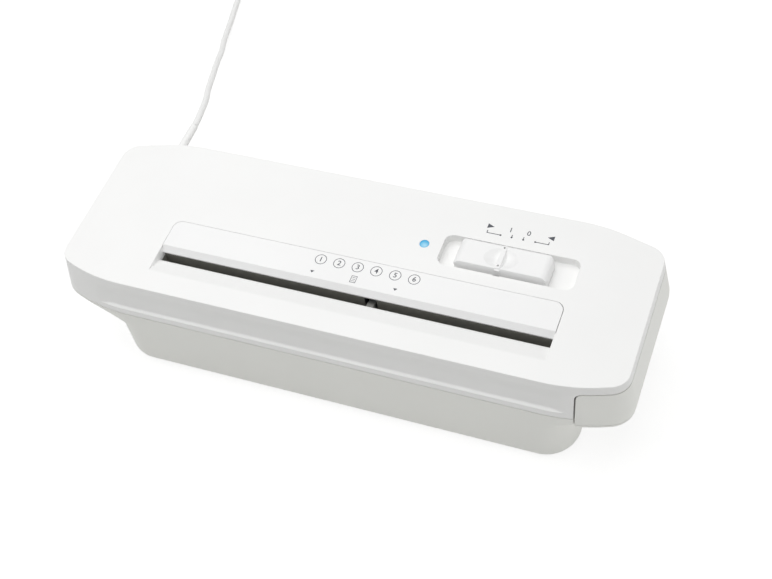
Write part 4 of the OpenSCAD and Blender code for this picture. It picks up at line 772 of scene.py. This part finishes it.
KNOB_TOP, KNOB_R, KNOB_END_R = RIM_Z + 2.9, 2.6, 4.4
SET_BACK, FACE_RUN, FACE_H = 0.5, 0.9, 4.9
KNOB_FRONT = KNOB_Y - KNOB_W / 2 + SET_BACK
RIDGE_W, RIDGE_UP, RIDGE_SLANT = 1.3, 0.3, 3


def roll(t, r):
    """Drop of a rounded edge of radius r at distance t from it."""
    return 0.0 if t >= r else r - math.sqrt(max(0.0, r * r - (r - t) ** 2))


def knob_height(x, y):
    """Height of the knob: rolled ends, a slanted front, a thumb hollow and a ridge across it."""
    ends = roll(KNOB_L / 2 - abs(x - KNOB_X), KNOB_END_R)
    if y < KNOB_Y:
        soft = 0.3
        t = FACE_RUN - (y - KNOB_FRONT)
        side = FACE_H / FACE_RUN * (max(0.0, t) if abs(t) > soft else (t + soft) ** 2 / (4 * soft))
    else:
        side = roll(KNOB_Y + KNOB_W / 2 - y, 0.7)
    z = KNOB_TOP - min(FACE_H, (ends ** 5 + side ** 5) ** 0.2)
    hollow = 1 - ((x - RIDGE_X) / 9.2) ** 2 - ((y - KNOB_Y) / 6.6) ** 2
    z -= 2.3 * max(0.0, hollow)
    across = abs(x - RIDGE_X)
    ridge = KNOB_TOP + RIDGE_UP - roll(KNOB_W / 2 - 0.5 - (y - KNOB_Y), 0.4) - (side if y < KNOB_Y else 0)
    if across <= RIDGE_W:
        return max(z, ridge - roll(RIDGE_W - across, 0.15))
    return max(z, ridge - 0.15 - RIDGE_SLANT * (across - RIDGE_W)) if x > RIDGE_X and hollow > 0 else z


def spaced(stops, counts):
    """Rising values from the first stop to the last, so many in each stretch."""
    return np.unique(np.concatenate([np.linspace(a, b, n) for a, b, n in zip(stops, stops[1:], counts)]))


def knob_rows():
    """Grid of places over the knob, closer together at its edges and its ridge, with rounded corners."""
    half_w, half_l, straight = KNOB_W / 2, KNOB_L / 2, KNOB_L / 2 - 6
    front, ridge = KNOB_FRONT - KNOB_Y, RIDGE_X - KNOB_X
    ys = spaced((front, front + 2, half_w - 1.4, half_w), (24, 52, 16))
    xs = spaced((-half_l, -straight, ridge - 2, ridge - 1, ridge + 1, ridge + 2, straight, half_l),
                (26, 46, 21, 5, 21, 46, 26))
    rows = []
    for y in ys:
        over = max(0.0, (y if y > 0 else half_w * y / front) - (half_w - KNOB_R))
        reach = half_l - (KNOB_R - math.sqrt(max(0.0, KNOB_R ** 2 - over ** 2)))
        row = []
        for x in xs:
            past = max(0.0, abs(x) - straight) / (half_l - straight)
            out = min(abs(x), straight) + past * (reach - straight)
            row.append((KNOB_X + math.copysign(out, x), KNOB_Y + y))
        rows.append(row)
    return rows


rows = knob_rows()
nx, ny = len(rows[0]), len(rows)
points = [(x, y, knob_height(x, y)) for row in rows for x, y in row]
faces = [(j * nx + i, j * nx + i + 1, (j + 1) * nx + i + 1, (j + 1) * nx + i)
         for j in range(ny - 1) for i in range(nx - 1)]
rim = [*range(nx), *(j * nx + nx - 1 for j in range(1, ny)),
       *((ny - 1) * nx + i for i in range(nx - 2, -1, -1)), *(j * nx for j in range(ny - 2, 0, -1))]
base = len(points)
points += [(points[k][0], points[k][1], RECESS_LOW + 0.3) for k in rim]
faces += [(rim[k], base + k, base + (k + 1) % len(rim), rim[(k + 1) % len(rim)]) for k in range(len(rim))]
faces.append(tuple(base + k for k in range(len(rim))))
knob_mesh = mesh_from("switch_knob_piece", points, faces)
stem = box_mesh("stem", (KNOB_X - STEM_X, KNOB_X + STEM_X), (KNOB_Y - STEM_Y, KNOB_Y + STEM_Y),
                (float(knob_lo[2]), RECESS_LOW + 1))
tab = drawn("tab", [(KNOB_FRONT + 2.2, KNOB_TOP + RIDGE_UP), (KNOB_FRONT, KNOB_TOP - 0.7),
                    (KNOB_FRONT + 0.1, KNOB_TOP - 1.2), (KNOB_FRONT + 3, KNOB_TOP - 1.2),
                    (KNOB_FRONT + 3, KNOB_TOP + RIDGE_UP)],
            RIDGE_X - RIDGE_W - 0.1, RIDGE_X + RIDGE_W + 0.1)
dots = [disc_mesh("dot", (RIDGE_X, y), 0.6, (RIM_Z + 1.5, RIM_Z + 5), 24)
        for y in (KNOB_FRONT + 2.9, KNOB_Y + KNOB_W / 2 - 1.6)]
knob_mesh = combine(combine(knob_mesh, [stem, tab], "UNION"), dots)
knob_piece = shade(add_object("switch_knob_piece", knob_mesh, "knob"), 32)
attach(knob_piece, "switch")
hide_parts("switch_knob")

# ---------------------------------------------------------------- status lens


def turned(name, profile, centre, steps=48):
    """Closed mesh of a profile of (radius, height) points turned about a vertical line."""
    return loft(name, [raised(circle(centre, r, steps), z) for r, z in profile])


lens_profile = [(LENS_R, RIM_Z - 6), (4.1, RIM_Z - 4), (4.15, RIM_Z - 3.9), (4.15, RIM_Z - 2.5),
                (LENS_R, RIM_Z - 2.4), (LENS_R, RIM_Z - 0.3)]
lens_profile += [(LENS_R * math.cos(a), RIM_Z - 0.3 + 0.7 * math.sin(a))
                 for a in np.radians(np.arange(10, 86, 10))]
lens_mesh = turned("status_lens_piece", lens_profile, LIGHT)
lens_piece = shade(add_object("status_lens_piece", lens_mesh, "lens"), 40)
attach(lens_piece, "head")
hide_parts("status_lens")

# ---------------------------------------------------------------- printed marks

INK_LOW, INK_HIGH = RIM_Z - 0.01, RIM_Z + 0.02
marks = []


def stroke(points, width=0.45):
    """Line of print through points."""
    for a, b in zip(points, points[1:]):
        a, b = np.array(a, float), np.array(b, float)
        u = (b - a) / np.linalg.norm(b - a)
        side = np.array([-u[1], u[0]]) * width / 2
        end = u * width / 2 * 0.6
        marks.append(drawn("mark", [a - side - end, b - side + end, b + side + end, a + side - end],
                           INK_LOW, INK_HIGH, "z"))


def spot(centre, r):
    """Round dot of print."""
    marks.append(disc_mesh("mark", centre, r, (INK_LOW, INK_HIGH), 20))


def hoop(centre, r, width=0.35):
    """Ring of print."""
    steps, out, faces = 40, [], []
    for radius, z in ((r, INK_LOW), (r, INK_HIGH), (r - width, INK_HIGH), (r - width, INK_LOW)):
        out += raised(circle(centre, radius, steps), z)
    for a in range(4):
        here, there = a * steps, (a + 1) % 4 * steps
        for k in range(steps):
            after = (k + 1) % steps
            faces.append((here + k, here + after, there + after, there + k))
    marks.append(mesh_from("mark", out, faces))


def shape(points):
    """Filled outline of print."""
    marks.append(drawn("mark", [tuple(p) for p in points], INK_LOW, INK_HIGH, "z"))


def numeral(text, centre, size):
    """A plain number, centred."""
    data = bpy.data.curves.new("numeral", "FONT")
    data.body, data.size = text, size * MM
    data.align_x, data.align_y = "CENTER", "CENTER"
    data.extrude = (INK_HIGH - INK_LOW) / 2 * MM
    data.offset = 0.04 * MM
    data.resolution_u = 4
    piece = bpy.data.objects.new("numeral", data)
    scene.collection.objects.link(piece)
    bpy.context.view_layer.update()
    mesh = bpy.data.meshes.new_from_object(piece.evaluated_get(bpy.context.evaluated_depsgraph_get()))
    mesh.transform(Matrix.Translation((centre[0] * MM, centre[1] * MM, (INK_LOW + INK_HIGH) / 2 * MM)))
    bpy.data.objects.remove(piece)
    marks.append(mesh)


for k in range(6):
    centre = (-15.8 + 10.7 * k, -8.0)
    hoop(centre, 3.28)
    numeral(str(k + 1), centre, 4.4)

for x in (-17.5, 30.0):
    shape([(x - 1.2, -16.1), (x, -17.6), (x + 1.2, -16.1)])
# Sheet of paper with three lines on it
sheet_x, sheet_y, half_w, half_h = 6.2, -16.1, 1.5, 2.1
sheet_corners = ((-1, -1), (1, -1), (1, 1), (-1, 1), (-1, -1))
stroke([(sheet_x + i * half_w, sheet_y + j * half_h) for i, j in sheet_corners], 0.3)
for k in (-1, 0, 1):
    stroke([(sheet_x + i * half_w * 0.6, sheet_y + 1.1 * k) for i in (-1, 1)], 0.25)

# Bracket or tick of each of the four switch positions, with the dot at its end
for line, dot in (([(65.1, 33.6), (65.1, 32), (72.7, 32)], (72.7, 32)),
                  ([(78.9, 33.6), (78.9, 31.9)], (78.9, 31.9)),
                  ([(85.3, 33.6), (85.3, 31.9)], (85.3, 31.9)),
                  ([(91.9, 32), (99.2, 32), (99.2, 33.6)], (91.9, 32))):
    stroke(line)
    spot(dot, 0.55)
shape([(64.3, 35.0), (68.0, 36.6), (64.3, 38.2)])
numeral("1", (77.2, 36.6), 4.4)
numeral("0", (87.2, 36.6), 4.4)
shape([(101.2, 35.0), (97.5, 36.6), (101.2, 38.2)])

print_mesh = bpy.data.meshes.new("printed_marks")
work = bmesh.new()
for mark in marks:
    work.from_mesh(mark)
work.to_mesh(print_mesh)
work.free()
printed = bpy.data.objects.new("printed_marks", print_mesh)
scene.collection.objects.link(printed)
print_mesh.materials.clear()
print_mesh.materials.append(print_ink)
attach(printed, "head")

# ---------------------------------------------------------------- strain relief and plug


def along_y(name, profile, x, z, steps=40):
    """Closed mesh of (y, radius) points turned about a line along y."""
    return loft(name, [[(u, y, v) for u, v in circle((x, z), r, steps)] for y, r in profile])


relief_y0, relief_y1 = float(relief_lo[1]), float(relief_hi[1])
relief_profile = [(relief_y0 + y, r) for y, r in ((0, 4.7), (0.2, 4.9), (2.4, 4.9), (2.6, 4.7),
                                                  (2.6, 3.3), (6.6, 3.3), (7.2, 2.7), (8.6, 2.6))]
# Six shallow grooves round the tapered sleeve
sleeve_y = relief_y0 + 8.6
for k in range(6):
    y = sleeve_y + 1 + 2.9 * k
    r = 2.6 - 0.3 * (y - sleeve_y) / (relief_y1 - sleeve_y)
    relief_profile += [(y, r), (y + 0.35, r - 0.12), (y + 0.85, r - 0.12), (y + 1.2, r - 0.02)]
relief_profile += [(relief_y1 - 0.5, 2.3), (relief_y1 - 0.1, 2.2), (relief_y1, 2.1)]
relief_mesh = along_y("strain_relief_piece", relief_profile, *EXIT)
relief_piece = shade(add_object("strain_relief_piece", relief_mesh, "cord"), 50)
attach(relief_piece, "head")
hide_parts("strain_relief")

plug_lo, plug_hi = corners_mm("plug_body")
PLUG_Y, PLUG_Z = float(plug_lo[1] + plug_hi[1]) / 2, float(plug_lo[2] + plug_hi[2]) / 2
PLUG_X0, PLUG_H = float(plug_lo[0]), float(plug_hi[2] - plug_lo[2])
BODY_X, BODY_L = PLUG_X0 + 13, 34


def plug_section(x, half_w, half_h, power, steps=48):
    """Rounded section across the plug: 2 is an ellipse, and a higher power is squarer."""
    out = []
    for k in range(steps):
        a = 2 * math.pi * k / steps
        c, s = math.cos(a), math.sin(a)
        out.append((x, PLUG_Y + half_w * math.copysign(abs(c) ** (2 / power), c),
                    PLUG_Z + half_h * math.copysign(abs(s) ** (2 / power), s)))
    return out


sections = [plug_section(PLUG_X0, 2.4, 2.4, 2)]
for k in range(7):
    x, r = PLUG_X0 + 0.6 + 1.75 * k, 2.7 + 0.2 * k
    for along, drop in ((0, 0), (0.9, 0), (1.05, 0.45), (1.6, 0.45)):
        sections.append(plug_section(x + along, r - drop, r - drop, 2))
WIDTHS = ((0, 0.1, 0.3, 0.55, 0.8, 0.96, 1), (4.6, 7.6, 12.6, 16.4, 17.45, 17.3, 16.6))
HEIGHTS = ((0, 0.1, 0.25, 0.94, 1), (4.4, 5.9, PLUG_H / 2, PLUG_H / 2, PLUG_H / 2 - 0.7))
for t in np.linspace(0, 1, 16):
    half_w, half_h = float(np.interp(t, *WIDTHS)), float(np.interp(t, *HEIGHTS))
    sections.append(plug_section(BODY_X + BODY_L * t, half_w, half_h, 2.2 + 1.6 * ease(t * 2)))
plug_piece = shade(add_object("plug_body_piece", loft("plug_body_piece", sections), "cord"), 40)
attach(plug_piece, "head")
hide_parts("plug_body")

mains_cord.data.materials.append(MATERIALS["cord"])
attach(mains_cord, "head")
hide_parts("cord_tube", "cord_coil", "cord_tail")

# ---------------------------------------------------------------- finishes of the CAD parts

slot_of = {s["node"]: s["material_slot"] for s in frame["record"]["subparts"]}
for name, node in frame["nodes"].items():
    node.data.materials.clear()
    # The sensor lever takes the painted-shade grey in place of its slot's finish
    node.data.materials.append(lever_painted_shade if name == "sensor_lever" else MATERIALS[slot_of[name]])

# ---------------------------------------------------------------- floor, world and lights


def background_rays(tree):
    """1 for camera, glossy and transmission rays, which see the white background, and 0 for the rest."""
    rays = tree.nodes.new("ShaderNodeLightPath")
    value = rays.outputs["Is Camera Ray"]
    for ray in ("Is Glossy Ray", "Is Transmission Ray"):
        node = tree.nodes.new("ShaderNodeMath")
        node.operation = "MAXIMUM"
        tree.links.new(value, node.inputs[0])
        tree.links.new(rays.outputs[ray], node.inputs[1])
        value = node.outputs[0]
    return value


floor_mesh = bpy.data.meshes.new("floor")
floor_mesh.from_pydata([(-6, -6, 0), (6, -6, 0), (6, 6, 0), (-6, 6, 0)], [], [(0, 1, 2, 3)])
floor = bpy.data.objects.new("floor", floor_mesh)
scene.collection.objects.link(floor)
floor.location.z = -0.0002
n = Nodes("floor_paper")
real = n.add("ShaderNodeBsdfDiffuse")
real.inputs["Color"].default_value = (0.76, 0.76, 0.745, 1)
faint = n.add("ShaderNodeBsdfDiffuse")
faint.inputs["Color"].default_value = (0.30, 0.30, 0.295, 1)
glow = n.add("ShaderNodeEmission")
glow.inputs["Strength"].default_value = 0.80
both = n.add("ShaderNodeAddShader")
n.link(faint.outputs[0], both.inputs[0])
n.link(glow.outputs[0], both.inputs[1])
mix = n.add("ShaderNodeMixShader")
n.link(background_rays(n.tree), mix.inputs["Fac"])
n.link(real.outputs[0], mix.inputs[1])
n.link(both.outputs[0], mix.inputs[2])
n.link(mix.outputs[0], n.out.inputs["Surface"])
floor_mesh.materials.append(n.material)

world = bpy.data.worlds.new("studio")
scene.world = world
world.use_nodes = True
tree = world.node_tree
tree.nodes.clear()
soft, white = tree.nodes.new("ShaderNodeBackground"), tree.nodes.new("ShaderNodeBackground")
soft.inputs["Color"].default_value = (0.99, 0.995, 1.0, 1)
soft.inputs["Strength"].default_value = 0.34
white.inputs["Color"].default_value = (1, 1, 1, 1)
white.inputs["Strength"].default_value = 1.0
mix = tree.nodes.new("ShaderNodeMixShader")
world_out = tree.nodes.new("ShaderNodeOutputWorld")
tree.links.new(background_rays(tree), mix.inputs["Fac"])
tree.links.new(soft.outputs[0], mix.inputs[1])
tree.links.new(white.outputs[0], mix.inputs[2])
tree.links.new(mix.outputs[0], world_out.inputs["Surface"])


def softbox(name, place, aim, size, power):
    """Rectangular lamp at a place, turned to a point."""
    data = bpy.data.lights.new(name, "AREA")
    data.shape, data.size, data.size_y = "RECTANGLE", size[0], size[1]
    data.energy = power
    lamp = bpy.data.objects.new(name, data)
    scene.collection.objects.link(lamp)
    lamp.location = place
    lamp.rotation_mode = "QUATERNION"
    lamp.rotation_quaternion = (Vector(aim) - Vector(place)).to_track_quat("-Z", "Y")


softbox("overhead", (-0.24, 0.05, 1.1), (-0.07, 0.01, 0), (1.5, 1.4), 10.9)
softbox("side_fill", (1.9, -0.2, 0.55), (0, 0, 0.05), (1.0, 0.8), 5.5)

scene.view_settings.view_transform = "Standard"
